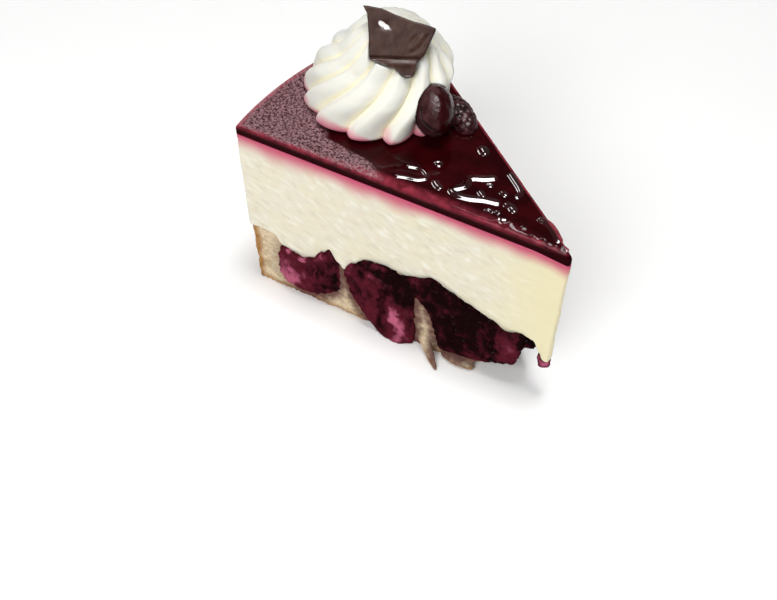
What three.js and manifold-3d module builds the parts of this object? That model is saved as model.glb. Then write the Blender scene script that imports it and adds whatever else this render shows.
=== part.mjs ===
// A slice of tall cream cake, cut from a round cake: cherries baked in a sponge base, a thick
// layer of cream, a red jelly glaze and, on top, a piped cream rosette with a chocolate shard,
// a soft round berry and half a bramble berry.
// Millimetres, +Z up. The slice stands on z = 0 with its tip towards +X, its rim towards -X and
// the cut face that faces the viewer towards -Y.
import * as THREE from 'three';
import { mergeVertices } from 'three/addons/utils/BufferGeometryUtils.js';
import Module from 'manifold-3d';

const wasm = await Module();
wasm.setup();

const degrees = (value) => (value * Math.PI) / 180;

// ---------------------------------------------------------------- driving dimensions
const CAKE_RADIUS = 110; // from the middle of the whole cake to its rim
const SLICE_ANGLE = degrees(38);
const TIP_CUT = 2; // the knife leaves the tip this far short of the cake's middle
const CREAM_TOP = 66.2;
const GLAZE_THICKNESS = 4;
const TIP_DROOP = 1.2; // the top sinks this much at the tip
const DROOP_LENGTH = 14;
const GAP = 0.3; // between pieces that touch

const HALF_ANGLE = SLICE_ANGLE / 2;
const MIDDLE_X = (CAKE_RADIUS + TIP_CUT * Math.cos(HALF_ANGLE)) / 2; // x of the cake's middle
const GLAZE_TOP = CREAM_TOP + GLAZE_THICKNESS;

// Heights of the line where the cream meets the base, [distance from the middle, height].
const BASE_LINE = [
  [1, 19], [4, 19], [6, 22], [8.5, 26.5], [12, 27.5], [17, 26], [22, 28.6], [30, 31], [36, 33.5],
  [43, 36.6], [48, 33.8], [53, 32], [60, 33], [66, 32], [71, 27.6], [74.5, 23], [76.5, 25],
  [79.5, 29.5], [82, 27], [86, 22], [90, 20], [97, 22], [101, 26], [111, 26.2],
];
// The underside of the base, which has torn away below the tip.
const UNDER_LINE = [
  [1, 15], [7, 14], [12, 11], [17, 8.2], [22, 6], [26, 3], [31, 0.4], [34, 0], [111, 0],
];
const LINE_DRIFT = 7; // the base line's pattern moves this far outwards half way between the cuts
const DRIFT_FROM = [8, 40]; // and the move grows over these distances
const WAVE_HEIGHT = 1.2; // the base line also waves this much towards the far cut
const WAVE_LENGTH = 8;
const WAVE_SHIFT = 5;
const WAVE_FROM = [8, 30];

// ---------------------------------------------------------------- materials
const finish = (color, roughness) => new THREE.MeshStandardMaterial({ color, roughness, metalness: 0 });
const FINISHES = {
  sponge: finish(0xd9bd86, 0.9),
  cherry: finish(0x5c1c33, 0.35),
  cream: finish(0xece6cf, 0.6),
  glaze: finish(0x5a0a18, 0.12),
  rosette: finish(0xf4f0de, 0.55),
  chocolate: finish(0x4c3531, 0.4),
  berry: finish(0x3a1620, 0.25),
};

// ---------------------------------------------------------------- helpers
const lerp = THREE.MathUtils.lerp;
const clamp = THREE.MathUtils.clamp;
const smoothstep = THREE.MathUtils.smoothstep;

/** Height of a line of [distance, height] points at a distance, eased between its points. */
function lineHeight(line, distance) {
  const next = line.findIndex(([d]) => d >= distance);
  if (next <= 0) return next === 0 ? line[0][1] : line.at(-1)[1];
  const [d0, h0] = line[next - 1];
  const [d1, h1] = line[next];
  return lerp(h0, h1, smoothstep(distance, d0, d1));
}

/**
 * A point of the slice: its distance from the cake's middle, its share of the way from the near
 * cut (0) to the far cut (1), its height, and how far it stands proud of the nearer cut.
 */
function place(distance, share, height, proud = 0) {
  const angle = (share - 0.5) * SLICE_ANGLE;
  const outX = Math.sin(HALF_ANGLE);
  const outY = (2 * share - 1) * Math.cos(HALF_ANGLE);
  return new THREE.Vector3(
    MIDDLE_X - distance * Math.cos(angle) + proud * outX,
    distance * Math.sin(angle) + proud * outY,
    height,
  );
}

/** The top of the base at a place: the base line drifts and waves from the near to the far cut. */
function baseTop(distance, share) {
  const drift = LINE_DRIFT * Math.sin(Math.PI * clamp(share, 0, 1)) * smoothstep(distance, ...DRIFT_FROM);
  const wave = WAVE_HEIGHT * share * Math.sin(distance / WAVE_LENGTH + WAVE_SHIFT * share);
  return lineHeight(BASE_LINE, distance - drift) + wave * smoothstep(distance, ...WAVE_FROM);
}

/** How far the top of the slice has sunk at a distance from the middle. */
const droop = (distance) => TIP_DROOP * (1 - smoothstep(distance, 0, DROOP_LENGTH));

/** A closed solid from a geometry, with its loose corners joined. */
function toSolid(geometry) {
  const plain = geometry.index ? geometry.clone() : mergeVertices(geometry);
  for (const name of Object.keys(plain.attributes)) {
    if (name !== 'position') plain.deleteAttribute(name);
  }
  const merged = mergeVertices(plain, 1e-4);
  const corners = Float32Array.from(merged.attributes.position.array);
  const triangles = [];
  for (let i = 0; i < merged.index.count; i += 3) {
    const [a, b, c] = [0, 1, 2].map((k) => merged.index.getX(i + k));
    if (a !== b && b !== c && c !== a) triangles.push(a, b, c);
  }
  const triVerts = Uint32Array.from(triangles);
  return new wasm.Manifold(new wasm.Mesh({ numProp: 3, vertProperties: corners, triVerts }));
}

/** A mesh from a closed solid. */
function toMesh(name, solid, material) {
  const { vertProperties, triVerts } = solid.getMesh();
  const geometry = new THREE.BufferGeometry();
  geometry.setAttribute('position', new THREE.BufferAttribute(Float32Array.from(vertProperties), 3));
  geometry.setIndex(Array.from(triVerts));
  geometry.computeVertexNormals();
  const mesh = new THREE.Mesh(geometry, material);
  mesh.name = name;
  return mesh;
}

/** Moves every corner of a geometry to where a function of its position sends it. */
function reshape(geometry, move) {
  const position = geometry.attributes.position;
  const corner = new THREE.Vector3();
  for (let i = 0; i < position.count; i += 1) {
    corner.fromBufferAttribute(position, i);
    const moved = move(corner);
    position.setXYZ(i, moved.x, moved.y, moved.z);
  }
  return geometry;
}

/**
 * A layer of the slice: a box whose x runs from the rim to the tip, whose y runs from the near
 * cut to the far cut, or past both by some steps, and whose z runs from its bottom to its top.
 */
function layer({ steps, across, levels, past = 0, inner, outer, bottom, top, inset = () => 0 }) {
  const box = new THREE.BoxGeometry(1, 1, 1, steps, across + 2 * past, levels);
  return toSolid(reshape(box, (corner) => {
    const level = corner.z + 0.5;
    const pulled = inset(level);
    const distance = lerp(outer(level) - pulled, inner(level) + pulled, corner.x + 0.5);
    const share = lerp(-past / across, 1 + past / across, corner.y + 0.5);
    return place(distance, share, lerp(bottom(distance, share), top(distance, share), level), -pulled);
  }));
}

// ---------------------------------------------------------------- cream and glaze
const BASE_STEPS = 46; // steps of the surface between cream and base, from rim to tip
const BASE_ACROSS = 6; // and from cut to cut
const TIP_LEAN = 1; // the tip's edge runs back this far from the top of the cream to its bottom
const creamTip = (level) => TIP_CUT + TIP_LEAN * (1 - level);

const cream = layer({
  steps: BASE_STEPS,
  across: BASE_ACROSS,
  levels: 2,
  inner: creamTip,
  outer: () => CAKE_RADIUS,
  bottom: baseTop,
  top: (d) => CREAM_TOP - GAP / 2 - droop(d),
});

const GLAZE_ROUND = 1.8; // radius of the glaze's rounded top edge
const ROUND_SHARE = 0.98; // of a full quarter turn, so that the edge keeps its steps apart

/** How far the glaze's side is drawn in at a level: nothing up to the round, then a quarter turn. */
function glazeInset(level) {
  const start = 1 - GLAZE_ROUND / GLAZE_THICKNESS;
  const turn = clamp((level - start) / (1 - start), 0, 1);
  return GLAZE_ROUND * (1 - Math.sqrt(1 - ROUND_SHARE * turn * turn));
}

const glaze = layer({
  steps: 26,
  across: BASE_ACROSS,
  levels: 5,
  inner: () => TIP_CUT,
  outer: () => CAKE_RADIUS,
  bottom: (d) => CREAM_TOP + GAP / 2 - droop(d),
  top: (d) => GLAZE_TOP - droop(d),
  inset: glazeInset,
});

// ---------------------------------------------------------------- base: sponge and cherries
// A cherry piece runs through the base from cut to cut. Its outline, [distance, height], is the
// one on the cut face, its ends swell out of the cuts, and its foot slumps further out.
const CHERRIES = {
  fruit_outer: {
    outline: [
      [100, 11], [98.5, 20], [95, 27], [86, 33], [78, 34], [76.2, 24], [76.5, 12], [80.5, 6.8],
      [86, 3.4], [93, 2.4], [98, 4.6],
    ],
    swell: 1, slump: 0.4, lift: 1.5,
  },
  fruit_middle: {
    outline: [
      [74, 20], [73.6, 28], [68, 37], [58, 39], [49, 39], [47.6, 29], [48.8, 20], [48.5, 8],
      [48.4, 1], [51, -4], [57, -4.5], [62, -0.6], [67, 4.5], [70, 8.5], [72.2, 13],
    ],
    swell: 1.4, slump: 2.4, lift: 5,
  },
  fruit_inner: {
    outline: [
      [49.4, 26], [50, 37], [43, 43], [33, 38], [22, 34], [14.5, 33], [11.2, 28], [11.6, 19],
      [13, 11.6], [19, 7.8], [26, 4.8], [33, 3.4], [39.4, 3.6], [41.4, 11], [44, 20],
    ],
    swell: 1.2, slump: 0.6, lift: 1.5,
  },
};
const CHERRY_AROUND = 30;
const CHERRY_TENSION = 0.4; // of the curve through the outline's points
const LIFT_WIDTH = 12; // a cherry's lower side is lifted between the cuts over this height
const SLUMP_HEIGHT = 7; // its foot slumps out of the cut up to about this height
// Rings along a cherry piece: [share of the way, scale of its outline, share of its swell].
const CHERRY_RINGS = [
  [0, 0.55, 1], [0, 0.86, 0.72], [0, 1, 0], [0.16, 1, 0], [0.33, 0.97, 0], [0.5, 0.96, 0],
  [0.67, 0.97, 0], [0.84, 1, 0], [1, 1, 0], [1, 0.86, 0.72], [1, 0.55, 1],
];

/** A cherry piece, or the hollow that it sits in when grown by the gap. */
function cherry({ outline, swell, slump, lift }, grow = 0) {
  const points = outline.map(([d, h]) => new THREE.Vector3(d, h, 0));
  const curve = new THREE.CatmullRomCurve3(points, true, 'catmullrom', CHERRY_TENSION);
  const rim = curve.getSpacedPoints(CHERRY_AROUND).slice(0, CHERRY_AROUND);
  const middle = rim.reduce((sum, point) => sum.add(point), new THREE.Vector3()).divideScalar(rim.length);
  const lastRing = CHERRY_RINGS.length - 1;
  const rings = new THREE.SphereGeometry(1, CHERRY_AROUND, lastRing + 2);
  return toSolid(reshape(rings, (corner) => {
    const row = Math.round((Math.acos(clamp(corner.y, -1, 1)) / Math.PI) * (lastRing + 2));
    const turn = Math.atan2(corner.z, corner.x) / (2 * Math.PI);
    const pole = row === 0 || row === lastRing + 2;
    const [share, scale, swollen] = CHERRY_RINGS[clamp(row - 1, 0, lastRing)];
    const size = pole ? 0 : scale;
    const step = THREE.MathUtils.euclideanModulo(Math.round(turn * CHERRY_AROUND), CHERRY_AROUND);
    const edge = rim[step].clone().sub(middle);
    edge.setLength(edge.length() + grow).multiplyScalar(size);
    const raised = lift * Math.sin(Math.PI * share) * smoothstep(-edge.y, 0, LIFT_WIDTH);
    const height = middle.y + edge.y + raised;
    const proud = (swell + grow + slump * Math.exp(-((height / SLUMP_HEIGHT) ** 2))) * swollen;
    return place(middle.x + edge.x, share, height, proud);
  }));
}

// Room for the base, reaching past the cuts so that the swollen ends of the cherries stay whole:
// all below the cream, and the same above the torn underside.
const pastCuts = {
  steps: BASE_STEPS,
  across: BASE_ACROSS,
  past: 2,
  levels: 1,
  inner: () => creamTip(0),
  outer: () => CAKE_RADIUS,
};
const creamHollow = layer({ ...pastCuts, bottom: (d, s) => baseTop(d, s) - GAP, top: () => CREAM_TOP });
const belowCream = layer({ ...pastCuts, bottom: () => 0, top: () => CREAM_TOP - 1 }).subtract(creamHollow);
const aboveTear = layer({ ...pastCuts, bottom: (d) => lineHeight(UNDER_LINE, d), top: () => CREAM_TOP });
const baseRoom = belowCream.intersect(aboveTear);

const RIM_INSET = 0.8; // the base stands in from the cream at the rim
const FOOT_INSET = 0.7; // and its foot a little further
const SPONGE_INNER = 24; // the sponge ends this far from the middle, and bare cherry goes on
const spongeBlock = layer({
  steps: 24,
  across: BASE_ACROSS,
  levels: 1,
  inner: () => SPONGE_INNER,
  outer: (level) => CAKE_RADIUS - RIM_INSET - FOOT_INSET * (1 - level),
  bottom: () => -1,
  top: () => CREAM_TOP / 2 + 6,
});

// Crumbs of sponge that the knife dragged out of the near cut: where each one's middle is, as
// distance, height and how far it stands proud, and its half sizes along, out of and up the cut.
// Its outer end is drawn further along the cut, sinks and gets slimmer: the first is a spike.
const CRUMBS = [
  {
    distance: 41.6, height: 2.6, proud: 3, along: 3, out: 4.3, up: 3, drawn: 4.8, sink: 2.2, slimmed: 0.55,
  },
  {
    distance: 32, height: 1.5, proud: 0.8, along: 6.2, out: 2, up: 1.7, drawn: 0, sink: 0, slimmed: 0,
  },
];

/** A crumb on the near cut, flat where it meets the ground. */
function crumb({ distance, height, proud, along, out, up, drawn, sink, slimmed }) {
  const egg = new THREE.SphereGeometry(1, 12, 10);
  egg.rotateX(-Math.PI / 2);
  return toSolid(reshape(egg, (corner) => {
    const reach = -corner.y;
    const slim = 1 - (slimmed * (reach + 1)) / 2;
    return place(
      distance - corner.x * along * slim - drawn * reach,
      0,
      Math.max(height + corner.z * up * slim - sink * reach, 0),
      proud + reach * out,
    );
  }));
}

const cherries = Object.fromEntries(Object.entries(CHERRIES).map(([name, spec]) => [name, cherry(spec)]));
const hollows = Object.values(CHERRIES).map((spec) => cherry(spec, GAP));

let sponge = spongeBlock.intersect(baseRoom);
for (const spec of CRUMBS) sponge = sponge.add(crumb(spec));
for (const hollow of hollows) sponge = sponge.subtract(hollow);

const fruitOuter = cherries.fruit_outer.intersect(baseRoom);
const fruitInner = cherries.fruit_inner.intersect(baseRoom);
const fruitMiddle = cherries.fruit_middle.intersect(baseRoom).subtract(cherry(CHERRIES.fruit_inner, GAP));

const TIP_SCRAP = { distance: 4.8, height: 17.6, along: 2.3, across: 1.7, up: 3.6 };

/** The scrap of cherry that hangs under the cream at the tip. */
function tipScrap({ distance, height, along, across, up }) {
  const egg = new THREE.SphereGeometry(1, 14, 8);
  return toSolid(reshape(egg, (corner) => place(distance, 0.5, height).add(
    new THREE.Vector3(corner.x * along, corner.y * across, corner.z * up),
  )));
}
const fruitTip = tipScrap(TIP_SCRAP).intersect(belowCream);

// ---------------------------------------------------------------- toppings
const ROSETTE = {
  centre: new THREE.Vector3(-29.1, 6, GLAZE_TOP + GAP),
  // The crests of its ridges at the foot: [direction in degrees, how much further it reaches].
  crests: [
    [-168, 0], [-143, 0.3], [-120, 0.2], [-95, 0.5], [-63, 0.3], [-35, 1.3], [-11, 1],
    [14.4, 0], [39.8, 0], [65, 0], [90.5, 0], [116, 0], [141.4, 0], [166.8, 0],
  ],
  valleyShare: 0.77, // of the way from one crest to the next
  footDepth: 1.8, // of the valleys at the foot
  bodyDepth: 2.6, // and from deepFrom upwards
  deepFrom: 6,
  fullRadius: 19, // the valleys get shallower within this radius
  twist: degrees(36), // the ridges turn this far up to twistHeight
  twistHeight: 24,
  lean: new THREE.Vector2(0.677, 0.736).multiplyScalar(3), // its upper half stands this far off
  leanHeight: 20,
  // The foot is pressed in towards the far cut: by this share, in this direction, all of it
  // within the first of these angles and heights and none of it beyond the second.
  press: 0.125,
  pressTo: degrees(60),
  pressWidth: [degrees(26), degrees(60)],
  pressHeight: [6, 12],
};
// Half of the rosette's outline, [radius, height], measured over the crests of its ridges.
const ROSETTE_PROFILE = [
  [0, 0], [11, 0], [22.8, 0], [23.8, 1.2], [23.4, 4], [22.1, 8], [21, 10.6], [19, 13.2], [15.8, 16],
  [13.9, 18.8], [11.6, 22], [8.8, 24.4], [5.6, 26.9], [2.4, 28.6], [0, 29],
];
// Steps from a crest down its gentle side to the next valley, and how round that side is.
const FALL_STEPS = [0, 0.3, 0.6, 0.85];
const FALL_ROUNDNESS = 0.9;

/** The columns around the rosette: each one's direction, how high on its ridge it is, and reach. */
function rosetteColumns(crests, valleyShare) {
  const crestAt = (i) => {
    const around = Math.floor(i / crests.length);
    return degrees(crests[i - around * crests.length][0] + 360 * around);
  };
  const valleyAfter = (i) => lerp(crestAt(i), crestAt(i + 1), valleyShare);
  return crests.flatMap(([, reach], i) => [
    { angle: valleyAfter(i - 1), raised: 0, reach },
    ...FALL_STEPS.map((step) => ({
      angle: lerp(crestAt(i), valleyAfter(i), step),
      raised: Math.cos((Math.PI / 2) * step) ** FALL_ROUNDNESS,
      reach,
    })),
  ]);
}

/** The piped rosette: a turned form whose ridges lap over each other and twist up to the peak. */
function rosette(spec) {
  const columns = rosetteColumns(spec.crests, spec.valleyShare);
  const profile = ROSETTE_PROFILE.map(([radius, height]) => new THREE.Vector2(radius, height));
  const turned = new THREE.LatheGeometry(profile, columns.length);
  return toSolid(reshape(turned, (corner) => {
    const radius = Math.hypot(corner.x, corner.z);
    const height = corner.y;
    const turn = Math.atan2(corner.x, corner.z) / (2 * Math.PI);
    const step = THREE.MathUtils.euclideanModulo(Math.round(turn * columns.length), columns.length);
    const { angle, raised, reach } = columns[step];
    const twisted = (1 - Math.cos(Math.PI * clamp(height / spec.twistHeight, 0, 1))) / 2;
    const direction = angle + spec.twist * twisted;
    const depth = lerp(spec.footDepth, spec.bodyDepth, smoothstep(height, 0, spec.deepFrom));
    const relief = reach * raised - depth * (1 - raised);
    const turnedAway = direction - spec.pressTo;
    const offPress = Math.abs(Math.atan2(Math.sin(turnedAway), Math.cos(turnedAway)));
    const pressed = spec.press
      * (1 - smoothstep(offPress, ...spec.pressWidth))
      * (1 - smoothstep(height, ...spec.pressHeight));
    const carved = (radius + relief * smoothstep(radius, 1, spec.fullRadius)) * (1 - pressed);
    const side = smoothstep(height, 0, spec.leanHeight);
    return new THREE.Vector3(
      spec.centre.x + carved * Math.cos(direction) + spec.lean.x * side,
      spec.centre.y + carved * Math.sin(direction) + spec.lean.y * side,
      spec.centre.z + height,
    );
  }));
}

// The chocolate shard stands on a ridge's shoulder and leans back against the peak. Its outline
// is [across, up] from its lower left corner, in the plane of its face.
const SHARD = {
  corner: new THREE.Vector3(-25.1, -5.7, GLAZE_TOP + 21.5),
  facing: degrees(-46), // the way its face looks, seen from above
  tilt: degrees(42), // and how far that is above the level
  front: 1, // its face stands this far forward of the corner
  thickness: 2.5,
  middle: new THREE.Vector2(10, 5), // of its face
  outline: [
    [2.8, 0.2], [6.3, -1.1], [10, -2.3], [13.3, -4.6], [15.1, -4.4], [15.8, -3.2], [16.4, -0.2],
    [18.4, 1.9], [21.3, 9.2], [14.8, 11.1], [9.4, 12.9], [5.7, 14.3], [0.6, 14.9], [1.7, 12.6],
    [2.4, 6.4],
  ],
};
const SLOT_REACH = 6; // the cream in front of the shard's face is pushed away this far

/** The shard, or the slot that it cuts in the cream: grown by the gap and open to the front. */
function shard({ corner, facing, tilt, front, thickness, middle, outline }, grow = 0, forward = 0) {
  const shape = new THREE.Shape(outline.map(([across, up]) => {
    const point = new THREE.Vector2(across, up).sub(middle);
    return point.setLength(point.length() + grow).add(middle);
  }));
  const depth = thickness + 2 * grow + forward;
  const slab = new THREE.ExtrudeGeometry(shape, { depth, bevelEnabled: false });
  const level = Math.cos(tilt);
  const face = new THREE.Vector3(level * Math.cos(facing), level * Math.sin(facing), Math.sin(tilt));
  const across = new THREE.Vector3(0, 0, 1).cross(face).normalize();
  const up = face.clone().cross(across);
  slab.translate(0, 0, front - thickness - grow);
  slab.applyMatrix4(new THREE.Matrix4().makeBasis(across, up, face).setPosition(corner));
  return toSolid(slab);
}

// The soft round berry: half sizes across, in depth and up, as it turns that way.
const ROUND_BERRY = {
  centre: new THREE.Vector3(-5.7, 5.7, GLAZE_TOP + 7.8),
  facing: degrees(47.4),
  half: new THREE.Vector3(5.9, 7.8, 7.4),
};
// The bramble berry lies cut side down beside the far cut: half sizes along, across and up.
const BRAMBLE = {
  centre: new THREE.Vector3(-4.9, 15.4, GLAZE_TOP + GAP),
  facing: degrees(161),
  half: new THREE.Vector3(8, 4.1, 3.9),
  drupelets: 74, // over a whole berry
  drupeletRadius: 1.35,
  relief: 0.55,
  fineness: 11,
};

/** The soft round berry, a little puckered, or the dent that it presses when grown. */
function roundBerry({ centre, facing, half }, grow = 0) {
  const ball = new THREE.SphereGeometry(1, 24, 15);
  const upright = new THREE.Vector3(0, 0, 1);
  return toSolid(reshape(ball, (corner) => {
    const pucker = 1 + 0.02 * Math.sin(3 * corner.x + 2 * corner.z) - 0.015 * Math.cos(4 * corner.y + 1);
    const grown = half.clone().multiplyScalar(pucker).addScalar(grow);
    return corner.clone().multiply(grown).applyAxisAngle(upright, facing).add(centre);
  }));
}

/** Directions spread evenly over a ball by the golden angle, one for each drupelet. */
function spreadDirections(count) {
  const golden = Math.PI * (3 - Math.sqrt(5));
  return Array.from({ length: count }, (_, i) => {
    const height = 1 - (2 * i + 1) / count;
    const ring = Math.sqrt(1 - height * height);
    return new THREE.Vector3(ring * Math.cos(golden * i), ring * Math.sin(golden * i), height);
  });
}

/** The bramble berry: a dome covered with round drupelets, or its plain dent when grown. */
function bramble({ centre, facing, half, drupelets, drupeletRadius, relief, fineness }, grow = 0) {
  const upright = new THREE.Vector3(0, 0, 1);
  const seats = spreadDirections(drupelets).map((direction) => direction.multiply(half));
  const ball = new THREE.IcosahedronGeometry(1, fineness);
  const berry = toSolid(reshape(ball, (corner) => {
    const seat = corner.clone().multiply(half);
    const nearest = Math.min(...seats.map((other) => other.distanceTo(seat)));
    const dome = Math.sqrt(Math.max(0, 1 - (nearest / drupeletRadius) ** 2));
    const raised = grow > 0 ? relief + grow : relief * dome;
    const grown = half.clone().addScalar(raised);
    return corner.clone().multiply(grown).applyAxisAngle(upright, facing).add(centre);
  }));
  return berry.trimByPlane([0, 0, 1], centre.z - grow);
}

const softBerry = roundBerry(ROUND_BERRY);
const berryDent = roundBerry(ROUND_BERRY, GAP);
const brambleBerry = bramble(BRAMBLE).subtract(berryDent);
const pipedRosette = rosette(ROSETTE)
  .subtract(berryDent)
  .subtract(bramble(BRAMBLE, GAP))
  .subtract(shard(SHARD, GAP, SLOT_REACH));

// ---------------------------------------------------------------- the slice
const slice = new THREE.Group();
slice.add(
  toMesh('sponge_base', sponge, FINISHES.sponge),
  toMesh('fruit_outer', fruitOuter, FINISHES.cherry),
  toMesh('fruit_middle', fruitMiddle, FINISHES.cherry),
  toMesh('fruit_inner', fruitInner, FINISHES.cherry),
  toMesh('fruit_tip', fruitTip, FINISHES.cherry),
  toMesh('cream_layer', cream, FINISHES.cream),
  toMesh('glaze_layer', glaze, FINISHES.glaze),
  toMesh('rosette', pipedRosette, FINISHES.rosette),
  toMesh('chocolate_shard', shard(SHARD), FINISHES.chocolate),
  toMesh('round_berry', softBerry, FINISHES.berry),
  toMesh('bramble_berry', brambleBerry, FINISHES.berry),
);

export default slice;
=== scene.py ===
"""A slice of tall cream cake, with the finish of each of its pieces.

Cherries are baked into a sponge base, under a thick layer of cream and a red jelly glaze. On top
stand a piped rosette with a chocolate shard, a soft round berry and half a bramble berry. Sizes are in
millimetres, and they become metres where a mesh is made.
"""
import logging
import math
from collections.abc import Callable, Sequence
from dataclasses import dataclass, replace
from enum import Enum

import bpy
import numpy as np
from mathutils import Matrix, Vector


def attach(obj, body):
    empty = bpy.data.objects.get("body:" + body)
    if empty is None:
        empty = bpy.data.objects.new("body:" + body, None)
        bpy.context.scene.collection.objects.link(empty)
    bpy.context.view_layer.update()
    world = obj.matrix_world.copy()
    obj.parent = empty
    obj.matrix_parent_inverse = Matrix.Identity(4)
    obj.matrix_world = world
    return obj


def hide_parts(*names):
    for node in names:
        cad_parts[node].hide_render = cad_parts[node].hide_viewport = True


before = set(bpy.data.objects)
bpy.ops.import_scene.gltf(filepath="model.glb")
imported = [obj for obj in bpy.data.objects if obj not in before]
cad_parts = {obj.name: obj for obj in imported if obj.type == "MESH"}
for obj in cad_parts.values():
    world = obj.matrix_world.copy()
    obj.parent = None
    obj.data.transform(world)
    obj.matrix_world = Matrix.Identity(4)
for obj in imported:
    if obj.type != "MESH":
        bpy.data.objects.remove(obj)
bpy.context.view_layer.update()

Array = np.ndarray
Pair = tuple[float, float]
Triple = tuple[float, float, float]
Line = Sequence[Pair]
Tone = tuple[float, float, float, float]
Socket = bpy.types.NodeSocket
Piece = bpy.types.Object
Material = bpy.types.Material

LOG = logging.getLogger("cream_cake_slice")
BODY = "root"
MILLIMETRE = 0.001


class Slot(Enum):
    """The material slots."""

    SPONGE = "sponge"
    CHERRY = "cherry"
    CREAM = "cream"
    GLAZE = "glaze"
    PIPED_CREAM = "piped_cream"
    CHOCOLATE = "chocolate"
    BERRY = "berry"
    BRAMBLE = "bramble"


# ---------------------------------------------------------------- arithmetic on arrays
def smoothstep(value: Array, low: Array | float, high: Array | float) -> Array:
    """Eases from 0 at low to 1 at high: t squared times (3 - 2t), with t clamped.

    Args:
        value: The numbers to ease.
        low: Where the result is 0.
        high: Where the result is 1.

    Returns:
        The eased numbers.
    """
    share = np.clip((value - low) / (high - low), 0.0, 1.0)
    return share * share * (3.0 - 2.0 * share)


def fading(value: Array, low: Array | float, high: Array | float) -> Array:
    """Eases the other way, from 1 at low to 0 at high."""
    return 1 - smoothstep(value, low, high)


def blend(first: Array | float, second: Array | float, share: Array | float) -> Array:
    """The value that lies the given share of the way from first to second."""
    return first + (second - first) * share


def eased_line(line: Line, distance: Array) -> Array:
    """Height of a line at some distances, eased by a smoothstep between its points.

    Args:
        line: The line's (distance, height) points.
        distance: Where the line is read.

    Returns:
        The heights.
    """
    stations, heights = np.array(line, float).T
    after = np.clip(np.searchsorted(stations, distance), 1, len(stations) - 1)
    share = smoothstep(distance, stations[after - 1], stations[after])
    return blend(heights[after - 1], heights[after], share)


def unit(vectors: Array) -> Array:
    """Vectors brought to length 1."""
    return vectors / np.maximum(np.linalg.norm(vectors, axis=-1, keepdims=True), 1e-9)


def travelled(line: Array) -> Array:
    """How far each point of a line lies along it."""
    return np.concatenate([[0.0], np.cumsum(np.linalg.norm(np.diff(line, axis=0), axis=1))])


def read_line(line: Array, at: Array) -> Array:
    """The places at some distances along a line, straight between its points."""
    walked = travelled(line)
    return np.stack([np.interp(at, walked, line[:, k]) for k in range(2)], axis=-1)


def softened(line: Array, times: int) -> Array:
    """A line whose inner points are averaged with their neighbours, a number of times.

    Args:
        line: The points.
        times: The number of rounds.

    Returns:
        The softened line.
    """
    soft = line.copy()
    for _ in range(times):
        soft[1:-1] = (soft[:-2] + 2 * soft[1:-1] + soft[2:]) / 4
    return soft


def closed_curve(corners: Line, count: int, tension: float = 0.4) -> Array:
    """A smooth closed curve through some corners, in evenly spaced points.

    Between two corners it is a cubic whose end slopes are the tension times the chord between
    the neighbours on either side.

    Args:
        corners: The corners in order.
        count: How many points the curve gets.
        tension: Share of the neighbours' chord that is the slope at a corner.

    Returns:
        A count by 2 array.
    """
    start = np.array(corners, float)
    end = np.roll(start, -1, axis=0)
    leave = tension * (end - np.roll(start, 1, axis=0))
    arrive = tension * (np.roll(start, -2, axis=0) - start)
    t = np.linspace(0.0, 1.0, 24, endpoint=False)[:, None, None]
    path = (
        (2 * t**3 - 3 * t**2 + 1) * start
        + (t**3 - 2 * t**2 + t) * leave
        + (3 * t**2 - 2 * t**3) * end
        + (t**3 - t**2) * arrive
    )
    dense = np.swapaxes(path, 0, 1).reshape(-1, 2)
    dense = np.vstack([dense, dense[:1]])
    return read_line(dense, np.linspace(0.0, travelled(dense)[-1], count, endpoint=False))


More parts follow.
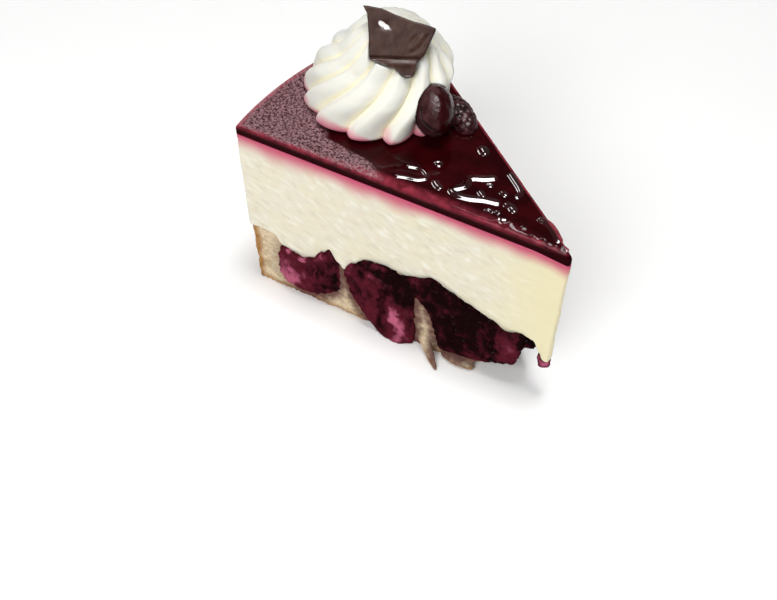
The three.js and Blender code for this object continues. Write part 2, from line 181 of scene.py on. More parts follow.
class Noise:
    """Smooth and cellular noise in space, the same on every run."""

    TABLE = 4096
    PRIMES = (73856093, 19349663, 83492791)

    def __init__(self, seed: int) -> None:
        """Draws the table of random directions and places.

        Args:
            seed: Seed of the draw.
        """
        draw = np.random.default_rng(seed)
        slopes = draw.normal(size=(self.TABLE, 3))
        self.slopes = slopes / np.linalg.norm(slopes, axis=1, keepdims=True)
        self.places = draw.random((self.TABLE, 3))

    def _entry(self, cell: Array) -> Array:
        """Which entry of the table belongs to each lattice cell."""
        mixed = cell[..., 0] * self.PRIMES[0] ^ cell[..., 1] * self.PRIMES[1] ^ cell[..., 2] * self.PRIMES[2]
        return (mixed ^ (mixed >> 11)) & (self.TABLE - 1)

    def smooth(self, points: Array, size: float | Array) -> Array:
        """Gradient noise: slopes drawn at the corners of a cubic lattice, eased between them.

        Args:
            points: Points in millimetres, with 3 numbers each.
            size: Size of the lattice's cells, one number or one for each axis.

        Returns:
            A number from about -1 to 1 for each point.
        """
        scaled = points / size
        cell = np.floor(scaled).astype(np.int64)
        inside = scaled - cell
        ease = inside**3 * (inside * (inside * 6 - 15) + 10)
        total = np.zeros(points.shape[:-1])
        for corner in np.ndindex(2, 2, 2):
            offset = np.array(corner)
            slope = self.slopes[self._entry(cell + offset)]
            weight = np.prod(np.where(offset == 1, ease, 1 - ease), axis=-1)
            total += weight * np.sum(slope * (inside - offset), axis=-1)
        return total * 1.7

    def rough(self, points: Array, size: float | Array, octaves: int = 3) -> Array:
        """Smooth noise with finer noise on it, each octave half the size and half the height."""
        layers = [self.smooth(points + 31.7 * k, np.asarray(size) / 2**k) / 2**k for k in range(octaves)]
        return np.sum(layers, axis=0)

    def cells(self, points: Array, size: float) -> Array:
        """Cellular noise: distance to the nearest of one point drawn in each lattice cell.

        Args:
            points: Points in millimetres, with 3 numbers each.
            size: Size of the lattice's cells.

        Returns:
            The distance as a share of the cells' size, from 0 to about 1.
        """
        scaled = points / size
        cell = np.floor(scaled).astype(np.int64)
        nearest = np.full(points.shape[:-1], 9.0)
        for step in np.ndindex(3, 3, 3):
            neighbour = cell + np.array(step) - 1
            spot = neighbour + self.places[self._entry(neighbour)]
            nearest = np.minimum(nearest, np.sum((scaled - spot) ** 2, axis=-1))
        return np.sqrt(nearest)


# ---------------------------------------------------------------- surfaces
@dataclass(frozen=True)
class Rings:
    """A closed surface of rings between two poles.

    The tangent of a ring crossed with the way from ring to ring points outwards.

    Attributes:
        points: Rows by columns by 3, in millimetres.
        first: The pole before the first ring.
        last: The pole after the last ring.
    """

    points: Array
    first: Array
    last: Array

    @classmethod
    def closed(cls, points: Array) -> "Rings":
        """Rings whose poles are the middles of the first and the last ring."""
        return cls(points, points[0].mean(axis=0), points[-1].mean(axis=0))

    @property
    def outward(self) -> Array:
        """Unit vector out of the surface at each point, from the differences of its neighbours.

        Returns:
            One vector for each point.
        """
        around = np.roll(self.points, -1, axis=1) - np.roll(self.points, 1, axis=1)
        along = np.gradient(self.points, axis=0)
        return unit(np.cross(around, along))

    def raised(self, relief: Array) -> "Rings":
        """The surface with each point moved out by its relief in millimetres."""
        return replace(self, points=self.points + self.outward * relief[..., None])

    def vertices(self) -> Array:
        """The poles and all points as one list: first pole, rings in order, last pole."""
        return np.vstack([self.first, self.points.reshape(-1, 3), self.last])

    def faces(self, start: int) -> list[list[int]]:
        """Quads between neighbouring rings, and triangles from the end rings to the poles.

        Args:
            start: The number of the first pole.

        Returns:
            The numbers of the points round each face.
        """
        rows, columns = self.points.shape[:2]
        number = start + 1 + np.arange(rows * columns).reshape(rows, columns)
        beside = np.roll(number, -1, axis=1)
        quads = np.stack([number[:-1], beside[:-1], beside[1:], number[1:]], axis=-1).reshape(-1, 4)
        first, last = np.full(columns, start), np.full(columns, start + rows * columns + 1)
        opening = np.stack([first, beside[0], number[0]], axis=-1)
        closing = np.stack([number[-1], beside[-1], last], axis=-1)
        return quads.tolist() + opening.tolist() + closing.tolist()


def ball(around: int, rows: int) -> tuple[Array, Array, Array]:
    """Directions over a ball, in rings from its lowest point to its highest.

    Args:
        around: How many directions a ring has.
        rows: How many rings.

    Returns:
        The directions, the lowest one and the highest one.
    """
    rise = np.linspace(-math.pi / 2, math.pi / 2, rows + 2)[1:-1, None]
    turn = np.linspace(0, 2 * math.pi, around, endpoint=False)
    directions = np.stack(np.broadcast_arrays(
        np.cos(rise) * np.cos(turn), np.cos(rise) * np.sin(turn), np.sin(rise)), axis=-1)
    return directions, np.array([0.0, 0.0, -1.0]), np.array([0.0, 0.0, 1.0])


def make_piece(name: str, vertices: Array, faces: list[list[int]]) -> Piece:
    """A smooth-shaded object at the origin, from points in millimetres.

    Args:
        name: The object's name.
        vertices: Its points.
        faces: The numbers of the points round each face.

    Returns:
        The object, linked to the scene.
    """
    mesh = bpy.data.meshes.new(name)
    mesh.from_pydata(vertices * MILLIMETRE, [], faces)
    mesh.shade_smooth()
    piece = bpy.data.objects.new(name, mesh)
    bpy.context.scene.collection.objects.link(piece)
    return piece


def ring_piece(name: str, *surfaces: Rings) -> Piece:
    """One object of one or more closed ring surfaces.

    Args:
        name: The object's name.
        surfaces: Its closed surfaces.

    Returns:
        The object.
    """
    vertices = np.vstack([surface.vertices() for surface in surfaces])
    faces, start = [], 0
    for surface in surfaces:
        faces += surface.faces(start)
        start += len(surface.vertices())
    return make_piece(name, vertices, faces)


def points_of(piece: Piece) -> Array:
    """All points of a piece's mesh, in millimetres.

    Args:
        piece: The piece's object.

    Returns:
        One row for each point.
    """
    flat = np.empty(len(piece.data.vertices) * 3)
    piece.data.vertices.foreach_get("co", flat)
    return flat.reshape(-1, 3) / MILLIMETRE


def normals_of(piece: Piece) -> Array:
    """The unit normal at each point of a piece's mesh.

    Args:
        piece: The piece's object.

    Returns:
        One row for each point.
    """
    flat = np.empty(len(piece.data.vertices) * 3)
    piece.data.vertices.foreach_get("normal", flat)
    return flat.reshape(-1, 3)


def move_points(piece: Piece, points: Array) -> None:
    """Puts a piece's points at new places, given in millimetres."""
    piece.data.vertices.foreach_set("co", (points * MILLIMETRE).ravel())
    piece.data.update()


def mark(piece: Piece, name: str, values: Array) -> None:
    """Keeps one number for each point of a piece, which its finish reads by name."""
    attribute = piece.data.attributes.new(name, "FLOAT", "POINT")
    attribute.data.foreach_set("value", np.ascontiguousarray(values, dtype=np.float32).ravel())


def mark_rings(piece: Piece, name: str, values: Array, first: float = 0.0,
               last: float = 0.0) -> None:
    """Keeps one number for each point of a piece made of rings, and one for each pole."""
    mark(piece, name, np.concatenate([[first], values.ravel(), [last]]))


def apply_modifiers(piece: Piece) -> None:
    """Turns a piece's modifiers into mesh.

    Args:
        piece: The piece's object.
    """
    graph = bpy.context.evaluated_depsgraph_get()
    before = piece.data
    piece.data = bpy.data.meshes.new_from_object(piece.evaluated_get(graph))
    piece.modifiers.clear()
    bpy.data.meshes.remove(before)


def join_or_cut(piece: Piece, tool: Piece, operation: str) -> None:
    """Adds a closed shape to a piece or takes it away, and removes the shape.

    Args:
        piece: The piece that changes.
        tool: The shape to add or take away.
        operation: UNION or DIFFERENCE.
    """
    boolean = piece.modifiers.new("boolean", "BOOLEAN")
    boolean.operation = operation
    boolean.solver = "MANIFOLD"
    boolean.object = tool
    apply_modifiers(piece)
    bpy.data.objects.remove(tool)


# ---------------------------------------------------------------- the slice's own coordinates
@dataclass(frozen=True)
class Slice:
    """Places in the slice: distance from the cake's middle, share of the way from the near cut (0)
    to the far cut (1), and height."""

    radius: float = 110.0
    angle: float = math.radians(38)
    tip_cut: float = 2.0
    cream_top: float = 66.2
    glaze_thickness: float = 4.0
    gap: float = 0.3
    tip_droop: float = 1.2
    droop_length: float = 14.0
    line_drift: float = 7.0
    base_line: Line = (
        (1, 19), (4, 19), (6, 22), (8.5, 26.5), (12, 27.5), (17, 26), (22, 28.6), (30, 31),
        (36, 33.5), (43, 36.6), (48, 33.8), (53, 32), (60, 33), (66, 32), (71, 27.6), (74.5, 23),
        (76.5, 25), (79.5, 29.5), (82, 27), (86, 22), (90, 20), (97, 22), (101, 26), (111, 26.2),
    )
    under_line: Line = (
        (1, 15), (7, 14), (12, 11), (17, 8.2), (22, 6), (26, 3), (31, 0.4), (34, 0), (111, 0),
    )

    @property
    def glaze_top(self) -> float:
        """Height of the glaze's top, away from the tip."""
        return self.cream_top + self.glaze_thickness

    @property
    def middle_x(self) -> float:
        """Where the cake's middle lies along x."""
        return (self.radius + self.tip_cut * math.cos(self.angle / 2)) / 2

    def place(self, distance: Array, share: Array, height: Array, proud: Array | float = 0.0) -> Array:
        """Points in space.

        Args:
            distance: Distance from the cake's middle.
            share: Share of the way from the near cut to the far cut.
            height: Height over the ground.
            proud: How far a point stands out of the nearer cut.

        Returns:
            The points, with x, y and z last.
        """
        turn = (np.asarray(share) - 0.5) * self.angle
        x = self.middle_x - distance * np.cos(turn) + proud * math.sin(self.angle / 2)
        y = distance * np.sin(turn) + proud * (2 * np.asarray(share) - 1) * math.cos(self.angle / 2)
        return np.stack(np.broadcast_arrays(x, y, height), axis=-1).astype(float)

    def locate(self, points: Array) -> tuple[Array, Array]:
        """Distance from the cake's middle and share of the way across, of points in space."""
        back = self.middle_x - points[..., 0]
        return np.hypot(back, points[..., 1]), np.arctan2(points[..., 1], back) / self.angle + 0.5

    def on_top(self, along: Array, inward: Array) -> Array:
        """x and y of places on the top.

        Args:
            along: Distance from the tip's corner along the near cut.
            inward: Distance in from the near cut.

        Returns:
            The places, with x and y last.
        """
        half = self.angle / 2
        x = self.middle_x - math.cos(half) * np.asarray(along) - math.sin(half) * np.asarray(inward)
        y = -math.sin(half) * np.asarray(along) + math.cos(half) * np.asarray(inward)
        return np.stack(np.broadcast_arrays(x, y), axis=-1).astype(float)

    def along_and_inward(self, points: Array) -> tuple[Array, Array]:
        """The way back from on_top: distance along the near cut, and in from it.

        Args:
            points: Points, in millimetres.

        Returns:
            The two distances.
        """
        half = self.angle / 2
        back = self.middle_x - points[..., 0]
        along = math.cos(half) * back - math.sin(half) * points[..., 1]
        inward = math.sin(half) * back + math.cos(half) * points[..., 1]
        return along, inward

    def base_top(self, distance: Array, share: Array) -> Array:
        """Height of the base: its line drifts outwards and waves from the near to the far cut.

        Args:
            distance: Distance from the cake's middle.
            share: Share of the way to the far cut.

        Returns:
            The height.
        """
        swell = np.sin(math.pi * np.clip(share, 0, 1)) * smoothstep(distance, 8, 40)
        wave = 1.2 * share * np.sin(distance / 8 + 5 * share) * smoothstep(distance, 8, 30)
        return eased_line(self.base_line, distance - self.line_drift * swell) + wave

    def droop(self, distance: Array) -> Array:
        """How far the top has sunk near the tip."""
        return self.tip_droop * fading(distance, 0, self.droop_length)


CAKE = Slice()


@dataclass(frozen=True)
class Layer:
    """One layer of the slice, as rings round its outline.

    The rings run from the middle of the underside out to the edge, up the side and in to the
    middle of the top. On the underside and the top they are the edge, drawn in towards a middle.

    Attributes:
        inner: Distance from the cake's middle at the tip, for a level from 0 to 1.
        outer: Distance at the rim, for a level.
        bottom: Height of the underside, for a distance and a share.
        top: Height of the top, for a distance and a share.
        levels: The level of each ring up the side.
        under_rings: How many rings cover the underside.
        top_rings: How many rings cover the top.
        spacing: Distance between points along the edge.
        inset: How far the side is drawn in, for a level.
        tip_inset: How much further the tip is drawn in, as a multiple of that.
    """

    inner: Callable[[Array], Array]
    outer: Callable[[Array], Array]
    bottom: Callable[[Array, Array], Array]
    top: Callable[[Array, Array], Array]
    levels: Array
    under_rings: int
    top_rings: int
    spacing: float
    inset: Callable[[Array], Array] = np.zeros_like
    tip_inset: float = 2.2

    def edge_pattern(self) -> tuple[Array, Array]:
        """Depth from the rim (0) to the tip (1), and share across, all round the edge.

        Returns:
            The two arrays: near cut, tip, far cut and rim in turn.
        """
        inner, outer = float(self.inner(np.ones(1))[0]), float(self.outer(np.ones(1))[0])
        cut = np.linspace(0, 1, round((outer - inner) / self.spacing), endpoint=False)
        tip = np.linspace(0, 1, max(3, round(inner * CAKE.angle / self.spacing)), endpoint=False)
        rim = np.linspace(0, 1, round(outer * CAKE.angle / self.spacing), endpoint=False)
        depth = np.concatenate([cut, np.ones_like(tip), 1 - cut, np.zeros_like(rim)])
        share = np.concatenate([np.zeros_like(cut), tip, np.ones_like(cut), 1 - rim])
        return depth, share

    def side(self) -> Array:
        """The rings of the side, at every level, with their corners softened.

        Returns:
            The rings' points.
        """
        depth, share = self.edge_pattern()
        level = self.levels[:, None]
        inset = self.inset(level)
        distance = blend(self.outer(level) - inset, self.inner(level) + self.tip_inset * inset, depth)
        points = CAKE.place(distance, share, 0.0, -inset)
        points = (np.roll(points, 1, axis=1) + 2 * points + np.roll(points, -1, axis=1)) / 4
        where = CAKE.locate(points)
        points[..., 2] = blend(self.bottom(*where), self.top(*where), level)
        return points

    def cap(self, edge: Array, count: int, height: Callable[[Array, Array], Array]) -> tuple[Array, Array]:
        """Rings from an edge ring in towards the middle, and the middle point.

        Args:
            edge: The ring at the edge.
            count: How many rings.
            height: Height for a distance and a share.

        Returns:
            The rings, from the outermost, and the pole.
        """
        middle = edge.mean(axis=0)
        scale = 1 - (np.arange(1, count + 1) / (count + 1)) ** 1.25
        rings = middle + (edge[None] - middle) * scale[:, None, None]
        rings[..., 2] = height(*CAKE.locate(rings))
        middle[2] = height(*CAKE.locate(middle[None]))[0]
        return rings, middle

    def rings(self) -> Rings:
        """The whole closed surface.

        Returns:
            The surface.
        """
        side = self.side()
        under, first = self.cap(side[0], self.under_rings, self.bottom)
        above, last = self.cap(side[-1], self.top_rings, self.top)
        return Rings(np.concatenate([under[::-1], side, above]), first, last)

    def side_share(self) -> Array:
        """1 for each ring on the side and 0 for the others, as a column."""
        flat = [np.zeros(self.under_rings), np.ones(len(self.levels)), np.zeros(self.top_rings)]
        return np.concatenate(flat)[:, None]

    def run(self) -> Array:
        """Distance travelled round the edge to each column."""
        return np.arange(len(self.edge_pattern()[0])) * self.spacing


# ---------------------------------------------------------------- finishes
def tone(red: int, green: int, blue: int) -> Tone:
    """A colour of 0 to 255 screen values, as the linear colour that a shader takes.

    Args:
        red: The red value.
        green: The green value.
        blue: The blue value.

    Returns:
        The colour, with an opacity of 1.
    """
    share = np.array([red, green, blue]) / 255
    linear = np.where(share <= 0.04045, share / 12.92, ((share + 0.055) / 1.055) ** 2.4)
    return (*(float(value) for value in linear), 1.0)


class Recipe:
    """A material's nodes, written down step by step."""

    def __init__(self, name: str) -> None:
        """Starts a material with one main shader.

        Args:
            name: The material's name.
        """
        self.material = bpy.data.materials.new(name)
        self.material.use_nodes = True
        self.tree = self.material.node_tree
        self.shader = self.tree.nodes["Principled BSDF"]
        self.place = self.add("ShaderNodeTexCoord", "Object")

    def put(self, socket: Socket, value: object) -> None:
        """Links a socket to another or sets its value."""
        if isinstance(value, bpy.types.NodeSocket):
            self.tree.links.new(value, socket)
        else:
            socket.default_value = value

    def add(self, kind: str, outlet: str | int, inputs: dict | None = None, **settings: object) -> Socket:
        """Adds a node.

        Args:
            kind: The node's type.
            outlet: Which of its outputs is wanted.
            inputs: Values or sockets for its inputs.
            settings: Its own properties.

        Returns:
            The output.
        """
        node = self.tree.nodes.new(kind)
        for name, value in settings.items():
            setattr(node, name, value)
        for name, value in (inputs or {}).items():
            self.put(node.inputs[name], value)
        return node.outputs[outlet]

    def shade(self, **inputs: object) -> None:
        """Fills the main shader's inputs, whose names are given with _ for a space."""
        for name, value in inputs.items():
            self.put(self.shader.inputs[name.replace("_", " ")], value)

    def scatter(self, weight: float, depth: float, reach: Triple) -> None:
        """Lets light travel under the surface.

        Args:
            weight: Share of the light that does.
            depth: How far it travels, in millimetres.
            reach: How far red, green and blue light travel, as shares of that.
        """
        self.shade(
            Subsurface_Weight=weight, Subsurface_Scale=depth * MILLIMETRE, Subsurface_Radius=reach,
        )

    def marked(self, name: str) -> Socket:
        """The number that a piece keeps for each of its points."""
        return self.add("ShaderNodeAttribute", "Fac", attribute_name=name)

    def stretched(self, x: float, y: float, z: float) -> Socket:
        """Object coordinates, scaled along each axis."""
        return self.add("ShaderNodeMapping", 0, {"Vector": self.place, "Scale": (x, y, z)})

    def noise(self, size: float, detail: float = 3.0, roughness: float = 0.55,
              vector: Socket | None = None) -> Socket:
        """Cloudy noise from 0 to 1, with patches of a size in millimetres.

        Args:
            size: Size of the patches.
            detail: How many finer sizes are added.
            roughness: How strong those are.
            vector: Other coordinates.

        Returns:
            The value.
        """
        inputs = {
            "Vector": vector or self.place,
            "Scale": 1 / (size * MILLIMETRE),
            "Detail": detail,
            "Roughness": roughness,
        }
        return self.add("ShaderNodeTexNoise", 0, inputs)

    def cells(self, size: float) -> Socket:
        """Cellular noise, with cells of a size in millimetres."""
        inputs = {"Vector": self.place, "Scale": 1 / (size * MILLIMETRE)}
        return self.add("ShaderNodeTexVoronoi", "Distance", inputs)

    def ease(self, value: Socket, low: float, high: float, start: float = 0.0, end: float = 1.0) -> Socket:
        """Eases a value between two limits to a range."""
        inputs = {"Value": value, "From Min": low, "From Max": high, "To Min": start, "To Max": end}
        return self.add("ShaderNodeMapRange", 0, inputs, interpolation_type="SMOOTHSTEP")

    def mix(self, share: Socket | float, first: object, second: object) -> Socket:
        """A colour that goes from first to second."""
        return self.add("ShaderNodeMix", 2, {0: share, 6: first, 7: second}, data_type="RGBA")

    def times(self, first: Socket, second: Socket | float) -> Socket:
        """The product of two values."""
        return self.add("ShaderNodeMath", 0, {0: first, 1: second}, operation="MULTIPLY")

    def plus(self, first: Socket, second: Socket | float) -> Socket:
        """The sum of two values."""
        return self.add("ShaderNodeMath", 0, {0: first, 1: second}, operation="ADD")

    def bump(self, height: Socket, depth: float, strength: float | Socket = 1.0,
             below: Socket | None = None) -> Socket:
        """Fine relief of a depth in millimetres, over other relief.

        Args:
            height: The relief.
            depth: Its depth.
            strength: Its strength.
            below: Other relief, under it.

        Returns:
            The new normal.
        """
        inputs = {"Height": height, "Distance": depth * MILLIMETRE, "Strength": strength}
        if below is not None:
            inputs["Normal"] = below
        return self.add("ShaderNodeBump", 0, inputs)


@dataclass(frozen=True)
class CreamFinish:
    """Matt set cream, dragged by the knife and stained pink under the glaze, with shade painted into the
    drag marks' hollows and a highlight painted on their crests.
    """

    body: Tone = tone(231, 225, 206)
    hollow: Tone = tone(221, 212, 189)
    painted_crest_highlight: Tone = tone(240, 237, 223)
    warm: Tone = tone(236, 227, 188)
    stain: Tone = tone(202, 78, 112)
    scatter_depth: float = 1.6

    def make(self) -> Material:
        """Colour from shade painted into the drag marks' hollows and a highlight painted on their crests,
        the tip's warmth and the stain, over a fine grain.

        Returns:
            The material.
        """
        recipe = Recipe("set_cream")
        cloud = recipe.ease(recipe.noise(9.0), 0.3, 0.7)
        body = recipe.mix(recipe.times(cloud, 0.35), self.body, self.warm)
        # painted shade: the hollows of the drag marks are darker
        with_hollow_shade = recipe.mix(recipe.marked("hollow"), body, self.hollow)
        # painted highlight: the crests of the drag marks are lighter
        with_crest_highlight = recipe.mix(recipe.marked("crest"), with_hollow_shade, self.painted_crest_highlight)
        warmed = recipe.mix(recipe.marked("warm"), with_crest_highlight, self.warm)
        colour = recipe.mix(recipe.marked("stain"), warmed, self.stain)
        grain = recipe.bump(recipe.noise(0.8, 4.0), 0.12, 0.5)
        recipe.shade(Base_Color=colour, Roughness=0.5, Normal=grain, Specular_IOR_Level=0.3)
        recipe.scatter(0.35, self.scatter_depth, (1.0, 0.8, 0.55))
        return recipe.material


@dataclass(frozen=True)
class PipedFinish:
    """Whipped cream: white crests, a yellow glow of scattered light painted into the hollows, and feet that
    the glaze has stained.
    """

    crest: Tone = tone(226, 225, 216)
    valley: Tone = tone(240, 234, 208)
    stain: Tone = tone(226, 112, 142)
    scatter_depth: float = 2.0

    def make(self) -> Material:
        """Colour from the ridges, with a yellow glow painted into the valleys, and the stain, with light
        that travels under the surface.

        Returns:
            The material.
        """
        recipe = Recipe("piped_cream")
        # painted light: the valley colour is a yellow glow of light scattered in the creases
        ridged = recipe.mix(recipe.marked("valley"), self.crest, self.valley)
        colour = recipe.mix(recipe.marked("stain"), ridged, self.stain)
        grain = recipe.bump(recipe.noise(1.1, 3.0), 0.06, 0.4)
        recipe.shade(Base_Color=colour, Roughness=0.45, Normal=grain, Specular_IOR_Level=0.15)
        recipe.scatter(0.4, self.scatter_depth, (1.0, 0.85, 0.6))
        return recipe.material


@dataclass(frozen=True)
class GlazeFinish:
    """Deep red jelly: nearly black where it is thick, crimson where the light gets through."""

    deep: Tone = tone(34, 2, 4)
    cut: Tone = tone(50, 4, 8)
    side: Tone = tone(38, 2, 5)
    thin: Tone = tone(172, 62, 80)
    painted_frost_sheen: Tone = tone(146, 108, 114)

    def make(self) -> Material:
        """Colour with a crimson glow painted at the thin edges and, over the fine bubbles at the rim, a
        paler sheen and sparkle painted for reflected light; the bubbles also break the gloss.

        Returns:
            The material.
        """
        recipe = Recipe("red_jelly_glaze")
        cloud = recipe.ease(recipe.noise(6.0), 0.35, 0.7)
        deep = recipe.mix(cloud, self.deep, self.cut)
        sided = recipe.mix(recipe.marked("side"), deep, self.side)
        # painted light: a crimson glow where light gets through the thin edges
        edged = recipe.mix(recipe.marked("thin"), sided, self.thin)
        frost_and_sheen = recipe.marked("frost_and_sheen")
        # painted reflection: a paler speckled sheen over the fine bubbles
        painted_sparkle = recipe.ease(recipe.noise(0.7, 2.0, 0.7), 0.35, 0.65)
        colour = recipe.mix(recipe.times(frost_and_sheen, painted_sparkle), edged, self.painted_frost_sheen)
        bubbles = recipe.bump(recipe.noise(0.75, 2.0, 0.7), 0.45, frost_and_sheen)
        recipe.shade(
            Base_Color=colour, Roughness=0.5, Normal=bubbles, Specular_IOR_Level=0.0,
            Coat_Weight=recipe.marked("gloss"), Coat_Roughness=0.06, Coat_IOR=1.5,
            Coat_Normal=bubbles,
        )
        return recipe.material


@dataclass(frozen=True)
class SpongeFinish:
    """Open pale crumb, toasted at the rim and the foot, and darker beside the cherries, partly from juice
    and partly as painted shade.
    """

    crumb: Tone = tone(226, 208, 176)
    shaded: Tone = tone(188, 164, 130)
    crust: Tone = tone(184, 134, 74)
    burnt: Tone = tone(128, 86, 48)
    juice: Tone = tone(98, 60, 54)

    def make(self) -> Material:
        """Colour from shade painted into the pores, crust, and juice stain mixed with painted shade, over
        fine crumbs.

        Returns:
            The material.
        """
        recipe = Recipe("baked_sponge")
        # painted shade: the pores are darkened
        pores = recipe.ease(recipe.cells(1.3), 0.15, 0.6)
        mottle = recipe.ease(recipe.noise(2.6, 4.0), 0.3, 0.7)
        crumb = recipe.mix(recipe.times(pores, mottle), self.crumb, self.shaded)
        toast = recipe.mix(recipe.ease(recipe.noise(2.2, 5.0, 0.65), 0.3, 0.8), self.crust, self.burnt)
        crusted = recipe.mix(recipe.marked("crust"), crumb, toast)
        # darker beside the cherries: partly juice stain, partly painted shade between them
        colour = recipe.mix(recipe.marked("juice"), crusted, self.juice)
        holes = recipe.bump(recipe.cells(0.9), 0.35, 0.7)
        grain = recipe.bump(recipe.noise(0.5, 3.0), 0.2, 0.6, below=holes)
        recipe.shade(
            Base_Color=colour, Roughness=0.85, Normal=grain, Specular_IOR_Level=0.25,
            Subsurface_Weight=0.15, Subsurface_Scale=0.8 * MILLIMETRE,
        )
        return recipe.material


@dataclass(frozen=True)
class CherryFinish:
    """Baked cherry flesh: wine-dark, with paler fibres and pink where the stone was."""

    dark: Tone = tone(24, 9, 11)
    flesh: Tone = tone(86, 28, 40)
    pink: Tone = tone(184, 96, 124)

    def make(self) -> Material:
        """Colour from the marked tint, broken up by fibres, with wet spots.

        Returns:
            The material.
        """
        recipe = Recipe("baked_cherry")
        fibres = recipe.noise(2.6, 4.0, 0.6, recipe.stretched(1.0, 1.0, 0.6))
        tint = recipe.plus(recipe.marked("tint"), recipe.ease(fibres, 0.25, 0.75, -0.16, 0.18))
        dark = recipe.mix(recipe.ease(tint, 0.0, 0.5), self.dark, self.flesh)
        colour = recipe.mix(recipe.ease(tint, 0.5, 1.0), dark, self.pink)
        grain = recipe.bump(recipe.noise(1.2, 2.0), 0.2, 0.5)
        wet = recipe.ease(recipe.noise(1.1, 2.0), 0.64, 0.76, 0.0, 0.7)
        recipe.shade(
            Base_Color=colour, Roughness=0.6, Normal=grain, Specular_IOR_Level=0.0,
            Coat_Weight=wet, Coat_Roughness=0.18, Coat_IOR=1.35,
        )
        return recipe.material


@dataclass(frozen=True)
class ChocolateFinish:
    """Dark chocolate with a dull bloom, darker edges and a painted highlight spot."""

    body: Tone = tone(55, 33, 27)
    bloom: Tone = tone(73, 48, 40)
    edge: Tone = tone(34, 20, 18)
    painted_highlight: Tone = tone(236, 233, 231)

    def make(self) -> Material:
        """Colour from bloom, edge and a painted near-white highlight spot, with fine smears.

        Returns:
            The material.
        """
        recipe = Recipe("dark_chocolate")
        bloom = recipe.ease(recipe.noise(3.0, 5.0), 0.35, 0.75)
        faced = recipe.mix(bloom, self.body, self.bloom)
        # painted highlight: a near-white spot standing for a gloss reflection on the face
        painted_highlight = recipe.mix(recipe.marked("gloss"), faced, self.painted_highlight)
        colour = recipe.mix(recipe.marked("edge"), painted_highlight, self.edge)
        drawn = recipe.stretched(0.4, 1.0, 1.0)
        smears = recipe.bump(recipe.noise(1.6, 4.0, 0.6, drawn), 0.15, 0.5)
        recipe.shade(
            Base_Color=colour, Roughness=recipe.ease(bloom, 0.0, 1.0, 0.36, 0.5), Normal=smears,
            Specular_IOR_Level=0.12,
        )
        return recipe.material


@dataclass(frozen=True)
class BerryFinish:
    """Soft berry skin, wet with glaze in its hollows, with shade painted into its deepest folds.

    Attributes:
        name: The material's name.
        skin: Colour of the skin.
        dull: Colour of its greyer patches.
        juice: Colour of the glaze in its hollows.
        painted_crease_shade: Dark colour painted into its deepest folds as shade.
        roughness: Roughness of the dry skin.
        grain: Depth of its fine grain in millimetres.
    """

    name: str
    skin: Tone
    dull: Tone
    juice: Tone
    painted_crease_shade: Tone
    roughness: float
    grain: float = 0.2

    def make(self) -> Material:
        """Colour from patches, glaze in the hollows and shade painted into the deepest folds, less rough
        where wet.

        Returns:
            The material.
        """
        recipe = Recipe(self.name)
        patches = recipe.ease(recipe.noise(2.4, 4.0), 0.35, 0.7)
        skin = recipe.mix(patches, self.skin, self.dull)
        wet = recipe.marked("wet")
        soaked = recipe.mix(wet, skin, self.juice)
        # painted shade: the crease colour darkens the deepest folds
        colour = recipe.mix(recipe.marked("fold"), soaked, self.painted_crease_shade)
        wrinkles = recipe.bump(recipe.noise(0.9, 4.0), self.grain, 0.5)
        recipe.shade(
            Base_Color=colour, Roughness=recipe.ease(wet, 0.0, 1.0, self.roughness, 0.14),
            Normal=wrinkles, Specular_IOR_Level=0.12,
        )
        return recipe.material


def dress(piece: Piece, node: str, slot: Slot, material: Material) -> None:
    """Gives a piece its material and its body, and hides the CAD part of the node that it stands for.

    Args:
        piece: The piece's object.
        node: The CAD node that it stands for.
        slot: The material slot; not used.
        material: The finish.
    """
    piece.data.materials.clear()
    piece.data.materials.append(material)
    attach(piece, BODY)
    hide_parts(node)
    LOG.info("%s: %d faces", piece.name, len(piece.data.polygons))


